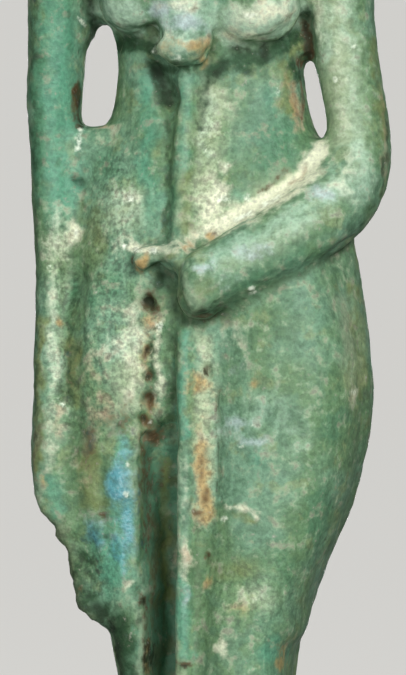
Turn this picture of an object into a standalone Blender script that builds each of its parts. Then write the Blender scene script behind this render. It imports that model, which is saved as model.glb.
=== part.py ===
"""Lioness-headed goddess, a figurine moulded in one piece of Egyptian faience.

She strides on a low base with a plain pillar up her back. Her right arm hangs at
her side, with its hand broken, and her left fist holds a papyrus sceptre against
her body. The openings between her arms and her waist go right through.

The figure is laid out on the Egyptian canon, in squares: 18 of them from the
soles to the hairline. x is to her left, y to her back and z up, in squares from
the axis of her waist and from her soles. The model's own frame is in metres, with
its origin at the middle of the underside of the base.
"""

import math

import bmesh
import bpy
import numpy as np
from mathutils import Matrix, Vector

MM = 0.001

# Driving sizes
FIGURE_HEIGHT = 109.0 * MM  # soles to the top of the wig
BASE_WIDTH = 22.0 * MM
BASE_DEPTH = 31.0 * MM
BASE_HEIGHT = 6.0 * MM
BASE_EDGE = 0.8 * MM  # worn edge of the base
PILLAR_WIDTH = 6.8 * MM
PILLAR_DEPTH = 5.2 * MM  # from its back face to inside her back
PILLAR_INSET = 0.4 * MM  # from the back of the base to the back of the pillar
PILLAR_EDGE = 0.5 * MM
FOOT_SINK = 0.5 * MM  # how far the figure and the pillar run into the base

# Shares of the figure's height
SQUARES = 18.5
SQUARE = FIGURE_HEIGHT / SQUARES
PILLAR_TOP = 16.4 * SQUARE
WAIST_AXIS = 1.42 * SQUARE  # from the back of the pillar to the axis of her waist
SOFT_GRAIN = 0.06 * SQUARE  # voxel of the forms that flow into each other
SOFT_ROUNDS = 8
SOFT_TRIANGLES = 14000
FINE_GRAIN = 0.05 * SQUARE  # voxel of the crisper forms on top of them
FINE_ROUNDS = 3
FINE_TRIANGLES = 8400

AXIS_Y = BASE_DEPTH / 2 - PILLAR_INSET - WAIST_AXIS

# Sections up the body: z, half width, depth in front, depth behind
TORSO = (
    (16.5, 0.44, 0.52, 0.44),
    (16.1, 0.70, 0.70, 0.56),
    (15.75, 1.14, 0.76, 0.64),
    (15.45, 1.48, 0.80, 0.70),
    (15.1, 1.58, 0.82, 0.74),
    (14.6, 1.46, 0.82, 0.74),
    (14.1, 1.26, 0.80, 0.72),
    (13.8, 1.21, 0.76, 0.69),
    (13.5, 1.13, 0.71, 0.66),
    (13.1, 1.12, 0.68, 0.62),
    (12.7, 1.20, 0.70, 0.64),
    (12.3, 1.34, 0.78, 0.70),
    (11.7, 1.58, 0.88, 0.82),
    (11.1, 1.73, 0.95, 0.94),
    (10.5, 1.85, 0.98, 1.02),
    (9.9, 1.92, 0.97, 1.08),
    (9.33, 1.95, 0.93, 1.08),
    (8.74, 1.87, 0.88, 1.02),
    (8.14, 1.71, 0.82, 0.95),
    (7.55, 1.46, 0.74, 0.88),
    (6.95, 1.24, 0.62, 0.84),
    (6.4, 1.06, 0.50, 0.82),
    (5.0, 0.98, 0.36, 0.82),
    (3.0, 0.94, 0.30, 0.82),
    (0.9, 0.92, 0.26, 0.82),
)

# Sections down a leg inside the dress: z, x, y, half width, depth in front, behind
LEFT_LEG = (
    (12.0, 0.55, -0.05, 0.50, 0.66, 0.50),
    (11.2, 0.76, -0.09, 0.74, 0.88, 0.60),
    (10.4, 0.90, -0.14, 0.86, 0.95, 0.70),
    (9.6, 0.97, -0.20, 0.90, 0.97, 0.80),
    (8.6, 0.93, -0.28, 0.88, 0.96, 0.80),
    (7.6, 0.79, -0.38, 0.72, 0.94, 0.80),
    (6.95, 0.67, -0.46, 0.61, 0.91, 0.80),
    (6.55, 0.63, -0.52, 0.58, 0.88, 0.80),
    (6.40, 0.58, -0.55, 0.52, 0.86, 0.80),
    (5.2, 0.56, -0.78, 0.50, 0.78, 1.00),
    (3.8, 0.55, -1.05, 0.48, 0.68, 1.30),
    (2.2, 0.54, -1.36, 0.46, 0.60, 1.60),
    (0.9, 0.54, -1.62, 0.48, 0.60, 1.90),
)
RIGHT_LEG = (
    (11.8, -0.55, 0.00, 0.50, 0.62, 0.50),
    (11.0, -0.78, -0.02, 0.72, 0.82, 0.60),
    (10.2, -0.92, -0.04, 0.82, 0.90, 0.75),
    (9.4, -0.96, -0.05, 0.86, 0.92, 0.80),
    (8.4, -0.93, -0.05, 0.80, 0.92, 0.80),
    (7.5, -0.80, -0.05, 0.66, 0.88, 0.70),
    (6.8, -0.70, -0.05, 0.54, 0.84, 0.60),
    (6.1, -0.62, -0.05, 0.46, 0.80, 0.60),
    (4.5, -0.58, -0.03, 0.42, 0.74, 0.60),
    (2.5, -0.56, 0.00, 0.40, 0.64, 0.60),
    (0.9, -0.56, 0.02, 0.42, 0.62, 0.60),
)

# Centre line of a limb: x, y, z and its half width
RIGHT_ARM = (
    (-1.28, 0.02, 15.30, 0.38),
    (-1.60, 0.00, 15.12, 0.46),
    (-1.76, -0.04, 14.7, 0.42),
    (-1.82, -0.08, 14.1, 0.38),
    (-1.86, -0.10, 13.4, 0.34),
    (-1.88, -0.12, 12.8, 0.32),
    (-1.87, -0.15, 12.2, 0.29),
    (-1.85, -0.20, 11.5, 0.26),
    (-1.84, -0.26, 10.8, 0.23),
    (-1.85, -0.31, 10.1, 0.20),
    (-1.86, -0.35, 9.4, 0.19),
    (-1.88, -0.38, 8.8, 0.21),
)
LEFT_UPPER_ARM = (
    (1.16, 0.02, 15.30, 0.38),
    (1.42, 0.00, 15.12, 0.47),
    (1.52, -0.04, 14.7, 0.44),
    (1.56, -0.06, 14.1, 0.41),
    (1.63, -0.08, 13.5, 0.39),
    (1.75, -0.10, 12.9, 0.365),
    (1.80, -0.12, 12.6, 0.355),
    (1.80, -0.14, 12.3, 0.39),
    (1.72, -0.22, 11.85, 0.44),
)
LEFT_FOREARM = (
    (1.76, -0.18, 12.0, 0.42),
    (1.62, -0.36, 11.72, 0.47),
    (1.36, -0.62, 11.42, 0.46),
    (1.02, -0.84, 11.16, 0.45),
    (0.66, -1.00, 10.95, 0.43),
    (0.30, -1.10, 10.76, 0.41),
    (0.06, -1.14, 10.65, 0.40),
)

# Webs of paste that join each arm to her side, above and below the openings,
# and the stem of the sceptre to her left leg: two corners of each
WEBS = (
    ((-1.80, -0.22, 13.80), (-1.00, 0.42, 15.00)),
    ((-1.84, -0.20, 13.58), (-1.44, 0.30, 14.20)),
    ((-1.84, -0.42, 9.20), (-1.00, 0.40, 12.56)),
    ((1.00, -0.24, 13.36), (1.60, 0.42, 15.00)),
    ((1.05, -0.50, 11.30), (1.75, 0.40, 12.38)),
)
STEM_WEB = (
    (11.2, 0.20, 0.0, 0.40, 0.96, 0.0),
    (10.4, 0.16, 0.0, 0.32, 0.99, 0.0),
    (9.4, 0.14, 0.0, 0.30, 1.02, 0.0),
    (8.0, 0.14, 0.0, 0.29, 1.07, 0.0),
    (6.0, 0.16, 0.0, 0.28, 1.20, 0.0),
    (3.0, 0.18, 0.0, 0.28, 1.38, 0.0),
    (0.9, 0.20, 0.0, 0.28, 1.56, 0.0),
)

WEB_EDGE = 0.06
# The blocks of her left fist: name, two corners and how far the edges are rounded
FIST = (
    ("fist", (-0.14, -1.52, 10.26), (0.40, -0.80, 11.00), 0.24),
    ("finger_ends", (-0.56, -1.04, 10.30), (-0.10, -0.70, 10.90), 0.14),
)
THUMB = (
    (-0.64, -1.04, 10.97, 0.12),
    (-0.50, -1.08, 11.00, 0.13),
    (-0.32, -1.12, 11.01, 0.14),
    (-0.06, -1.18, 10.96, 0.18),
)

# Sections along a foot: y, half width, height, all from its ankle
FOOT = (
    (0.46, 0.22, 0.50),
    (0.20, 0.36, 0.86),
    (-0.20, 0.37, 0.96),
    (-0.70, 0.37, 0.66),
    (-1.20, 0.42, 0.46),
    (-1.60, 0.43, 0.34),
)
# Sections up an ankle: z, half width, depth in front, depth behind
ANKLE = (
    (-0.10, 0.34, 0.40, 0.44),
    (0.30, 0.29, 0.38, 0.36),
    (0.60, 0.27, 0.32, 0.31),
    (1.20, 0.29, 0.34, 0.36),
)
SOLE_SHARE = 0.25  # of a foot's height, below its widest level
TOES = 5
GREAT_TOE = (0.32, -1.68, 0.15)  # inwards, forwards and up from the ankle
GREAT_TOE_RADII = (0.125, 0.24, 0.17)
TOE_SPAN = 0.66  # from the great toe to the little one
TOE_RETREAT = 0.28  # how far the little toe lies behind the great one
TOE_TAPER = 0.28  # share of its width that the little toe loses
LEFT_ANKLE = (0.54, -1.66)
RIGHT_ANKLE = (-0.56, -0.02)

# The broken hand and what is left of the thing it held, as it shows from the front
BROKEN_EDGE = (
    (-1.95, 9.30),
    (-2.01, 8.60),
    (-2.01, 8.25),
    (-1.96, 8.12),
    (-1.86, 7.96),
    (-1.70, 7.80),
    (-1.63, 7.55),
    (-1.59, 7.32),
    (-1.52, 7.10),
    (-1.47, 6.92),
    (-1.34, 6.75),
    (-1.18, 6.62),
    (-1.00, 6.72),
    (-0.95, 7.60),
    (-1.30, 8.60),
    (-1.72, 9.30),
)
BROKEN_FRONT = -0.78
BROKEN_BACK = 0.10
BROKEN_ROUNDING = 0.10
BACK_OF_HAND = ((-1.87, -0.40, 8.62), (0.21, 0.42, 0.52))

# The sceptre: its stem, and the profile of its flower as radius and z
STEM_ABOVE = (
    (-0.13, -0.66, 13.5, 0.16),
    (-0.14, -0.64, 13.1, 0.155),
    (-0.15, -0.66, 12.7, 0.15),
    (-0.16, -0.74, 12.3, 0.15),
    (-0.17, -0.85, 11.7, 0.14),
    (-0.18, -0.94, 11.0, 0.14),
)
STEM_BELOW = (
    (-0.12, -0.96, 10.6, 0.12),
    (-0.10, -1.00, 9.6, 0.11),
    (-0.09, -1.06, 8.5, 0.11),
    (-0.07, -1.19, 6.0, 0.11),
    (-0.03, -1.38, 3.0, 0.12),
    (0.0, -1.62, -0.1, 0.14),
)
FLOWER = (
    (0.0, 13.22),
    (0.17, 13.26),
    (0.28, 13.36),
    (0.34, 13.50),
    (0.33, 13.64),
    (0.35, 13.78),
    (0.42, 14.10),
    (0.50, 14.40),
    (0.56, 14.54),
    (0.50, 14.62),
    (0.0, 14.64),
)
FLOWER_FOOT = (-0.13, -0.84, 0.0)
FLOWER_FLATNESS = 0.72

# The slot between the legs: z, left side, right side and floor
SLOT = (
    (10.3, -0.40, -0.23, -1.00),
    (9.9, -0.42, -0.21, -0.88),
    (9.3, -0.44, -0.20, -0.78),
    (9.0, -0.50, -0.20, -0.70),
    (8.85, -0.64, -0.20, -0.60),
    (8.6, -0.68, -0.20, -0.48),
    (7.8, -0.68, -0.19, -0.36),
    (6.5, -0.66, -0.18, -0.30),
    (4.0, -0.62, -0.16, -0.24),
    (-0.4, -0.62, -0.15, -0.20),
)

SLOT_FRONT = -4.0  # in front of everything

# Sections up the wig: z, half width, depth in front, depth behind
WIG_Y = 0.02
WIG = (
    (18.42, 0.34, 0.22, 0.34),
    (18.28, 0.66, 0.40, 0.58),
    (17.9, 0.92, 0.52, 0.78),
    (17.4, 1.04, 0.50, 0.88),
    (16.9, 1.12, 0.48, 0.92),
    (16.4, 1.20, 0.48, 0.92),
    (15.9, 1.26, 0.48, 0.90),
    (15.3, 1.24, 0.44, 0.86),
    (14.9, 1.10, 0.34, 0.82),
)
# Sections down a lappet: z, x, y, half width, depth in front, behind
LAPPET = (
    (17.2, 0.94, -0.16, 0.20, 0.24, 0.30),
    (16.7, 0.96, -0.34, 0.27, 0.30, 0.40),
    (16.1, 0.88, -0.60, 0.32, 0.32, 0.40),
    (15.5, 0.78, -0.76, 0.33, 0.28, 0.40),
    (14.9, 0.70, -0.84, 0.31, 0.26, 0.40),
    (14.12, 0.63, -0.88, 0.26, 0.24, 0.40),
)

# The head's rounded masses: name, centre, radii
HEAD = (
    ("skull", (0.0, -0.28, 17.44), (0.78, 0.80, 0.80)),
    ("neck", (0.0, -0.38, 16.30), (0.62, 0.44, 0.70)),
    ("muzzle", (0.0, -1.00, 17.00), (0.44, 0.52, 0.35)),
    ("nose", (0.0, -1.46, 17.23), (0.18, 0.11, 0.11)),
    ("chin", (0.0, -1.10, 16.74), (0.27, 0.34, 0.18)),
)
HEAD_PAIRS = (
    ("cheek", (0.46, -0.62, 17.08), (0.37, 0.42, 0.44)),
    ("lip_pad", (0.20, -1.24, 16.99), (0.25, 0.27, 0.24)),
    ("brow", (0.34, -0.86, 17.72), (0.26, 0.20, 0.14)),
    ("eyeball", (0.38, -0.90, 17.49), (0.17, 0.14, 0.10)),
)
# The line of her nose from forehead to tip: x, y, z and its half width
NOSE_LINE = (
    (0.0, -0.62, 17.92, 0.30),
    (0.0, -0.88, 17.68, 0.27),
    (0.0, -1.12, 17.48, 0.21),
    (0.0, -1.34, 17.32, 0.17),
    (0.0, -1.44, 17.24, 0.15),
)
RUFF_CENTRE = (0.0, -0.58, 17.14)
RUFF_RADII = (0.88, 0.88)
RUFF_TUBE = 0.17
EAR = (0.64, -0.34, 18.18)
EAR_RADII = (0.28, 0.15, 0.30)
EAR_HOLLOW = (0.67, -0.50, 18.20)
EAR_HOLLOW_RADII = (0.17, 0.13, 0.19)

# Her breasts: x, y, z and radii
BREASTS = (
    ((-0.78, -0.62, 14.08), (0.46, 0.44, 0.46)),
    ((0.68, -0.62, 13.98), (0.54, 0.46, 0.50)),
)


def clear_scene():
    for obj in list(bpy.data.objects):
        bpy.data.objects.remove(obj, do_unlink=True)


def collection(name):
    made = bpy.data.collections.new(name)
    bpy.context.scene.collection.children.link(made)
    return made


def place(point):
    """A point in squares as one in metres, in the model's frame."""
    x, y, z = point
    return Vector((x * SQUARE, AXIS_Y + y * SQUARE, BASE_HEIGHT + z * SQUARE))


def smooth_rows(rows, count):
    """Rows of numbers read as smooth curves of their first column, which falls or rises all the way."""
    table = np.array(rows, float)
    keys = table[:, 0]
    steps = np.linspace(keys[0], keys[-1], count)
    order = np.argsort(keys)
    knots, values = keys[order], table[order]
    slopes = np.gradient(values, knots, axis=0)
    rises = np.diff(values, axis=0) / np.diff(knots)[:, None]
    # A slope never carries the curve past the next row.
    limit = 3 * np.minimum(
        np.vstack([abs(rises[:1]), abs(rises)]), np.vstack([abs(rises), abs(rises[-1:])])
    )
    slopes = np.clip(slopes, -limit, limit)
    cell = np.clip(np.searchsorted(knots, steps) - 1, 0, len(knots) - 2)
    width = (knots[cell + 1] - knots[cell])[:, None]
    t = (steps[:, None] - knots[cell][:, None]) / width
    return (
        (2 * t**3 - 3 * t**2 + 1) * values[cell]
        + (t**3 - 2 * t**2 + t) * width * slopes[cell]
        + (3 * t**2 - 2 * t**3) * values[cell + 1]
        + (t**3 - t**2) * width * slopes[cell + 1]
    )


def add_object(name, mesh, where):
    obj = bpy.data.objects.new(name, mesh)
    where.objects.link(obj)
    return obj


def loft(name, rings, where):
    """A skin over a stack of rings of points, with the two end rings filled."""
    mesh = bmesh.new()
    rows = [[mesh.verts.new(point) for point in ring] for ring in rings]
    for low, high in zip(rows, rows[1:]):
        for i in range(len(low)):
            j = (i + 1) % len(low)
            mesh.faces.new((low[i], low[j], high[j], high[i]))
    mesh.faces.new(rows[0])
    mesh.faces.new(rows[-1])
    bmesh.ops.recalc_face_normals(mesh, faces=mesh.faces)
    data = bpy.data.meshes.new(name)
    mesh.to_mesh(data)
    mesh.free()
    return add_object(name, data, where)


def oval(wide, front, back, power=2.2, count=48):
    """Points round a rounded section: across, and deep with its own front and back."""
    turn = np.linspace(0, 2 * math.pi, count, endpoint=False)
    cos, sin = np.cos(turn), np.sin(turn)
    across = wide * np.sign(cos) * abs(cos) ** (2 / power)
    deep = np.where(sin < 0, front, back) * np.sign(sin) * abs(sin) ** (2 / power)
    return across, deep


def upright_loft(name, rows, where, power=2.2, count=60):
    """A loft whose rows are z, x, y, half width, depth in front and depth behind."""
    rings = []
    for z, x, y, wide, front, back in smooth_rows(rows, count):
        across, deep = oval(wide, front, back, power)
        rings.append([place((x + a, y + d, z)) for a, d in zip(across, deep)])
    return loft(name, rings, where)


def ball(name, centre, radii, where):
    mesh = bmesh.new()
    bmesh.ops.create_uvsphere(mesh, u_segments=32, v_segments=20, radius=1.0)
    bmesh.ops.scale(mesh, vec=Vector(radii) * SQUARE, verts=mesh.verts)
    bmesh.ops.translate(mesh, vec=place(centre), verts=mesh.verts)
    data = bpy.data.meshes.new(name)
    mesh.to_mesh(data)
    mesh.free()
    return add_object(name, data, where)


def limb(name, points, where, depth=1.0):
    """A tube along a smooth line, thicker and thinner as its points say. depth widens it in y."""
    line = np.array(points, float)
    steps = np.arange(len(line), dtype=float)
    fine = smooth_rows(np.column_stack([steps, line]), 6 * len(line))[:, 1:]
    curve = bpy.data.curves.new(name, "CURVE")
    curve.dimensions = "3D"
    curve.bevel_depth = SQUARE
    curve.bevel_resolution = 6
    curve.use_fill_caps = True
    spline = curve.splines.new("POLY")
    spline.points.add(len(fine) - 1)
    for point, (x, y, z, radius) in zip(spline.points, fine):
        point.co = (*place((x, y, z)), 1.0)
        point.radius = radius
    tube = add_object(name, curve, where)
    obj = as_mesh(tube, where)
    middle = place((0, line[:, 1].mean(), 0)).y
    stretch = Matrix.Translation((0, middle, 0)) @ Matrix.Diagonal((1, depth, 1, 1))
    obj.data.transform(stretch @ Matrix.Translation((0, -middle, 0)))
    return obj


def as_mesh(source, where):
    """A curve, or an object with modifiers, replaced by its plain closed mesh."""
    graph = bpy.context.evaluated_depsgraph_get()
    data = bpy.data.meshes.new_from_object(source.evaluated_get(graph))
    data.transform(source.matrix_world)
    mesh = bmesh.new()
    mesh.from_mesh(data)
    bmesh.ops.remove_doubles(mesh, verts=mesh.verts, dist=0.001 * MM)
    mesh.to_mesh(data)
    mesh.free()
    name = source.name
    bpy.data.objects.remove(source, do_unlink=True)
    data.name = name
    return add_object(name, data, where)


def block(name, low, high, edge, where):
    """A box between two corners in metres, with worn edges."""
    mesh = bmesh.new()
    bmesh.ops.create_cube(mesh, size=1.0)
    bmesh.ops.scale(mesh, vec=Vector(high) - Vector(low), verts=mesh.verts)
    bmesh.ops.translate(mesh, vec=(Vector(high) + Vector(low)) / 2, verts=mesh.verts)
    data = bpy.data.meshes.new(name)
    mesh.to_mesh(data)
    mesh.free()
    obj = add_object(name, data, where)
    bevel = obj.modifiers.new("worn_edge", "BEVEL")
    bevel.width = edge
    bevel.segments = 3
    return as_mesh(obj, where)


def square_block(name, low, high, edge, where):
    """A block between two corners in squares."""
    return block(name, place(low), place(high), edge * SQUARE, where)


def torso(where):
    rows = [(z, 0.0, 0.0, wide, front, back) for z, wide, front, back in TORSO]
    upright_loft("torso_and_dress", rows, where, count=120)


def legs(where):
    upright_loft("left_leg", LEFT_LEG, where, power=2.6)
    upright_loft("right_leg", RIGHT_LEG, where, power=2.6)
    upright_loft("stem_web", STEM_WEB, where, power=6.0)


def breasts(where):
    for centre, radii in BREASTS:
        ball("breast", centre, radii, where)


def arms(where):
    limb("right_arm", RIGHT_ARM, where, depth=1.35)
    limb("left_upper_arm", LEFT_UPPER_ARM, where, depth=1.15)
    limb("left_forearm", LEFT_FOREARM, where)
    for low, high in WEBS:
        square_block("web", low, high, WEB_EDGE, where)


def fist(where):
    for name, low, high, edge in FIST:
        square_block(name, low, high, edge, where)
    limb("thumb", THUMB, where)


def broken_hand(where):
    curve = bpy.data.curves.new("broken_hand", "CURVE")
    curve.dimensions = "2D"
    curve.fill_mode = "BOTH"
    curve.bevel_depth = BROKEN_ROUNDING * SQUARE
    curve.bevel_resolution = 2
    curve.offset = -curve.bevel_depth
    curve.extrude = (BROKEN_BACK - BROKEN_FRONT) * SQUARE / 2 - curve.bevel_depth
    spline = curve.splines.new("POLY")
    spline.points.add(len(BROKEN_EDGE) - 1)
    for point, (x, z) in zip(spline.points, BROKEN_EDGE):
        point.co = (x * SQUARE, z * SQUARE, 0, 1.0)
    spline.use_cyclic_u = True
    plate = add_object("broken_hand", curve, where)
    plate.rotation_euler.x = math.pi / 2
    plate.location = place((0, (BROKEN_FRONT + BROKEN_BACK) / 2, 0))
    bpy.context.view_layer.update()
    as_mesh(plate, where)
    ball("back_of_hand", *BACK_OF_HAND, where)


def sceptre(where):
    limb("stem_above", STEM_ABOVE, where)
    limb("stem_below", STEM_BELOW, where)
    mesh = bpy.data.meshes.new("flower")
    outline = [(radius * SQUARE, 0, z * SQUARE) for radius, z in reversed(FLOWER)]
    mesh.from_pydata(outline, [(i, i + 1) for i in range(len(outline) - 1)], [])
    flower = add_object("flower", mesh, where)
    turn = flower.modifiers.new("turn", "SCREW")
    turn.steps = turn.render_steps = 40
    turn.use_merge_vertices = True
    turn.merge_threshold = 0.01 * MM
    flower.location = place(FLOWER_FOOT)
    flower.scale.y = FLOWER_FLATNESS
    bpy.context.view_layer.update()
    as_mesh(flower, where)


def foot(name, ankle, where):
    """A foot lofted from heel to toes and its ankle, with its toes as a fan of small balls."""
    ankle_x, ankle_y = ankle
    rings = []
    for y, wide, height in smooth_rows(FOOT, 24):
        sole = height * SOLE_SHARE
        across, up = oval(wide, sole, height - sole, power=2.4)
        rings.append([place((ankle_x + a, ankle_y + y, sole + u)) for a, u in zip(across, up)])
    loft(name, rings, where)
    rows = [(z, ankle_x, ankle_y, wide, front, back) for z, wide, front, back in ANKLE]
    upright_loft(f"{name}_ankle", rows, where, count=12)
    inward = -math.copysign(1, ankle_x)
    x, y, z = GREAT_TOE
    wide, long, high = GREAT_TOE_RADII
    for toe in range(TOES):
        share = toe / (TOES - 1)
        centre = (
            ankle_x + inward * (x - TOE_SPAN * share),
            ankle_y + y + TOE_RETREAT * share**1.5,
            z,
        )
        ball(f"{name}_toe_{toe}", centre, (wide * (1 - TOE_TAPER * share), long, high), where)


def feet(where):
    foot("left_foot", LEFT_ANKLE, where)
    foot("right_foot", RIGHT_ANKLE, where)


def wig(where):
    rows = [(z, 0.0, WIG_Y, wide, front, back) for z, wide, front, back in WIG]
    upright_loft("wig", rows, where)
    for side in (-1, 1):
        rows = [(z, side * x, *rest) for z, x, *rest in LAPPET]
        upright_loft(f"lappet_{side}", rows, where, power=3.0)


def head(where):
    for name, centre, radii in HEAD:
        ball(name, centre, radii, where)
    for name, (x, y, z), radii in HEAD_PAIRS:
        for side in (-1, 1):
            ball(f"{name}_{side}", (side * x, y, z), radii, where)
    limb("nose_line", NOSE_LINE, where)
    turns = np.linspace(0, 2 * math.pi, 33)[:-1]
    x, y, z = RUFF_CENTRE
    wide, high = RUFF_RADII
    ring = [
        (x + wide * math.sin(t), y, z + high * math.cos(t), RUFF_TUBE) for t in turns
    ]
    limb("ruff", ring + ring[:1], where, depth=1.0)


def ears(where):
    x, y, z = EAR
    for side in (-1, 1):
        ball(f"ear_{side}", (side * x, y, z), EAR_RADII, where)


def melt(name, pieces, grain, rounds, where):
    """Overlapping pieces made one skin by a voxel remesh, then softened as glaze softens paste."""
    mesh = bmesh.new()
    for piece in pieces:
        mesh.from_mesh(piece.data)
    data = bpy.data.meshes.new(name)
    mesh.to_mesh(data)
    mesh.free()
    for piece in pieces:
        bpy.data.objects.remove(piece, do_unlink=True)
    obj = add_object(name, data, where)
    remesh = obj.modifiers.new("one_skin", "REMESH")
    remesh.mode = "VOXEL"
    remesh.voxel_size = grain
    soften = obj.modifiers.new("soften", "SMOOTH")
    soften.factor = 0.5
    soften.iterations = rounds
    return as_mesh(obj, where)


def combine(target, other, operation, where):
    """The union of two closed meshes, or the first less the second."""
    boolean = target.modifiers.new(operation.lower(), "BOOLEAN")
    boolean.operation = operation
    boolean.solver = "EXACT"
    boolean.object = other
    result = as_mesh(target, where)
    bpy.data.objects.remove(other, do_unlink=True)
    return result


def slot(where):
    """The groove between her legs, open to the front and deeper towards her feet."""
    rings = []
    for z, left, right, floor in smooth_rows(SLOT, 40):
        corners = ((left, SLOT_FRONT), (right, SLOT_FRONT), (right, floor), (left, floor))
        rings.append([place((x, y, z)) for x, y in corners])
    return loft("slot", rings, where)


def lighten(obj, triangles, where):
    """Fewer, larger triangles where the surface is flat."""
    obj.data.calc_loop_triangles()
    share = triangles / len(obj.data.loop_triangles)
    decimate = obj.modifiers.new("lighten", "DECIMATE")
    decimate.ratio = min(1.0, share)
    return as_mesh(obj, where)


def figure(where):
    """Soft forms melted together, then the slot, then crisper forms and the ears' hollows."""
    forms = collection("forms")
    cutters = collection("cutters")
    for make in (torso, legs, breasts, arms, broken_hand, wig):
        make(forms)
    body = melt("body", list(forms.objects), SOFT_GRAIN, SOFT_ROUNDS, where)
    body = lighten(body, SOFT_TRIANGLES, where)
    body = combine(body, slot(cutters), "DIFFERENCE", where)
    for make in (fist, sceptre, feet, head, ears):
        make(forms)
    skin = melt("figure", [body, *forms.objects], FINE_GRAIN, FINE_ROUNDS, where)
    skin = lighten(skin, FINE_TRIANGLES, where)
    for side in (-1, 1):
        x, y, z = EAR_HOLLOW
        hollow = ball("ear_hollow", (side * x, y, z), EAR_HOLLOW_RADII, cutters)
        skin = combine(skin, hollow, "DIFFERENCE", where)
    bpy.data.collections.remove(forms)
    bpy.data.collections.remove(cutters)
    return skin


def back_pillar(where):
    back = BASE_DEPTH / 2 - PILLAR_INSET
    low = (-PILLAR_WIDTH / 2, back - PILLAR_DEPTH, BASE_HEIGHT - FOOT_SINK)
    high = (PILLAR_WIDTH / 2, back, BASE_HEIGHT + PILLAR_TOP)
    return block("pillar", low, high, PILLAR_EDGE, where)


def base(where):
    low = (-BASE_WIDTH / 2, -BASE_DEPTH / 2, 0)
    high = (BASE_WIDTH / 2, BASE_DEPTH / 2, BASE_HEIGHT)
    return block("base", low, high, BASE_EDGE, where)


def faience():
    """Glazed composition: a pale green glaze, half matt with burial."""
    material = bpy.data.materials.new("faience")
    material.use_nodes = True
    shader = material.node_tree.nodes["Principled BSDF"]
    shader.inputs["Base Color"].default_value = (0.22, 0.38, 0.29, 1)
    shader.inputs["Roughness"].default_value = 0.42
    shader.inputs["Metallic"].default_value = 0.0
    return material


def main():
    clear_scene()
    where = collection("goddess_figurine")
    goddess = figure(where)
    stand = combine(base(where), back_pillar(where), "UNION", where)
    goddess = combine(goddess, stand, "UNION", where)
    goddess.name = "goddess_figurine"
    goddess.data.materials.clear()
    goddess.data.materials.append(faience())
    goddess.data.shade_smooth()
    goddess.data.set_sharp_from_angle(angle=math.radians(50))


main()
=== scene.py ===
"""Lioness-headed goddess, a figurine moulded in one piece of Egyptian faience.

She is worked out in squares of the Egyptian canon: x to her left, y to her back and
z up, from the axis of her waist and from her soles. Marks on her front are placed as
they are seen from the camera, in pixels of a 406 x 675 frame, PIXEL millimetres each.
"""

import math

import bpy
import numpy as np
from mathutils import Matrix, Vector


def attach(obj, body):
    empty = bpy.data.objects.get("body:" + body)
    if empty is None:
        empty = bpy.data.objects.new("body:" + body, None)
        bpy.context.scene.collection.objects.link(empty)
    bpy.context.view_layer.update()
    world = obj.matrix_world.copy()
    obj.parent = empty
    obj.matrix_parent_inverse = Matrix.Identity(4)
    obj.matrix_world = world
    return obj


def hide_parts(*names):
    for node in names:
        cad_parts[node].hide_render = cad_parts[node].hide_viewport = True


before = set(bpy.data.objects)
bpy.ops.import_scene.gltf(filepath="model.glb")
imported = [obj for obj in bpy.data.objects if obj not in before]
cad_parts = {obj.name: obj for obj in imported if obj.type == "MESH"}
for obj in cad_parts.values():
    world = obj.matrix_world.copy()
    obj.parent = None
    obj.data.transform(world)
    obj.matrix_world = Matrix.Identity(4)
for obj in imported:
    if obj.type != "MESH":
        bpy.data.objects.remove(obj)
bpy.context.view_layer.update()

MM = 0.001

# Sizes of the figure
FIGURE_HEIGHT = 109.0 * MM
SQUARE = FIGURE_HEIGHT / 18.5
BASE_WIDTH = 22.0 * MM
BASE_DEPTH = 31.0 * MM
BASE_HEIGHT = 6.0 * MM
BASE_EDGE = 0.8 * MM
PILLAR_WIDTH = 6.8 * MM
PILLAR_DEPTH = 5.2 * MM
PILLAR_INSET = 0.4 * MM
PILLAR_EDGE = 0.5 * MM
PILLAR_TOP = 16.4
FOOT_SINK = 0.5 * MM
WAIST_AXIS = 1.42
AXIS_Y = BASE_DEPTH / 2 - PILLAR_INSET - WAIST_AXIS * SQUARE

# How the camera sees her
VIEW_TURN = math.radians(12.0)
CAMERA_DISTANCE = 0.60
PIXEL = 0.07 * MM
FRAME_WIDE = 406
FRAME_HIGH = 675
AXIS_U = 211.0
SOLE_V = 1184.0
PIXELS_PER_SQUARE = SQUARE / PIXEL

# How fine each stage of the skin is, and how many rounds of softening it gets
BODY_GRAIN = 0.20 * MM
BODY_ROUNDS = 26
HELD_GRAIN = 0.18 * MM
HELD_ROUNDS = 14
FINE_GRAIN = 0.172 * MM
FINE_ROUNDS = 3
# Triangles left in all where the camera's crop doesn't come near
PLAIN_TRIANGLES = 46000

# Power of a section's rounding, from an oval at 2 towards a box
LEG_POWER = 2.6
STEM_WEB_POWER = 6.0
WEB_POWER = 12.0
LAPPET_POWER = 3.0
FIST_POWER = 2.5
FINGERS_POWER = 4.0
FOOT_POWER = 2.4

# How far the edges of the broken hand are rounded
BREAK_ROUNDING = 0.10

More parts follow.
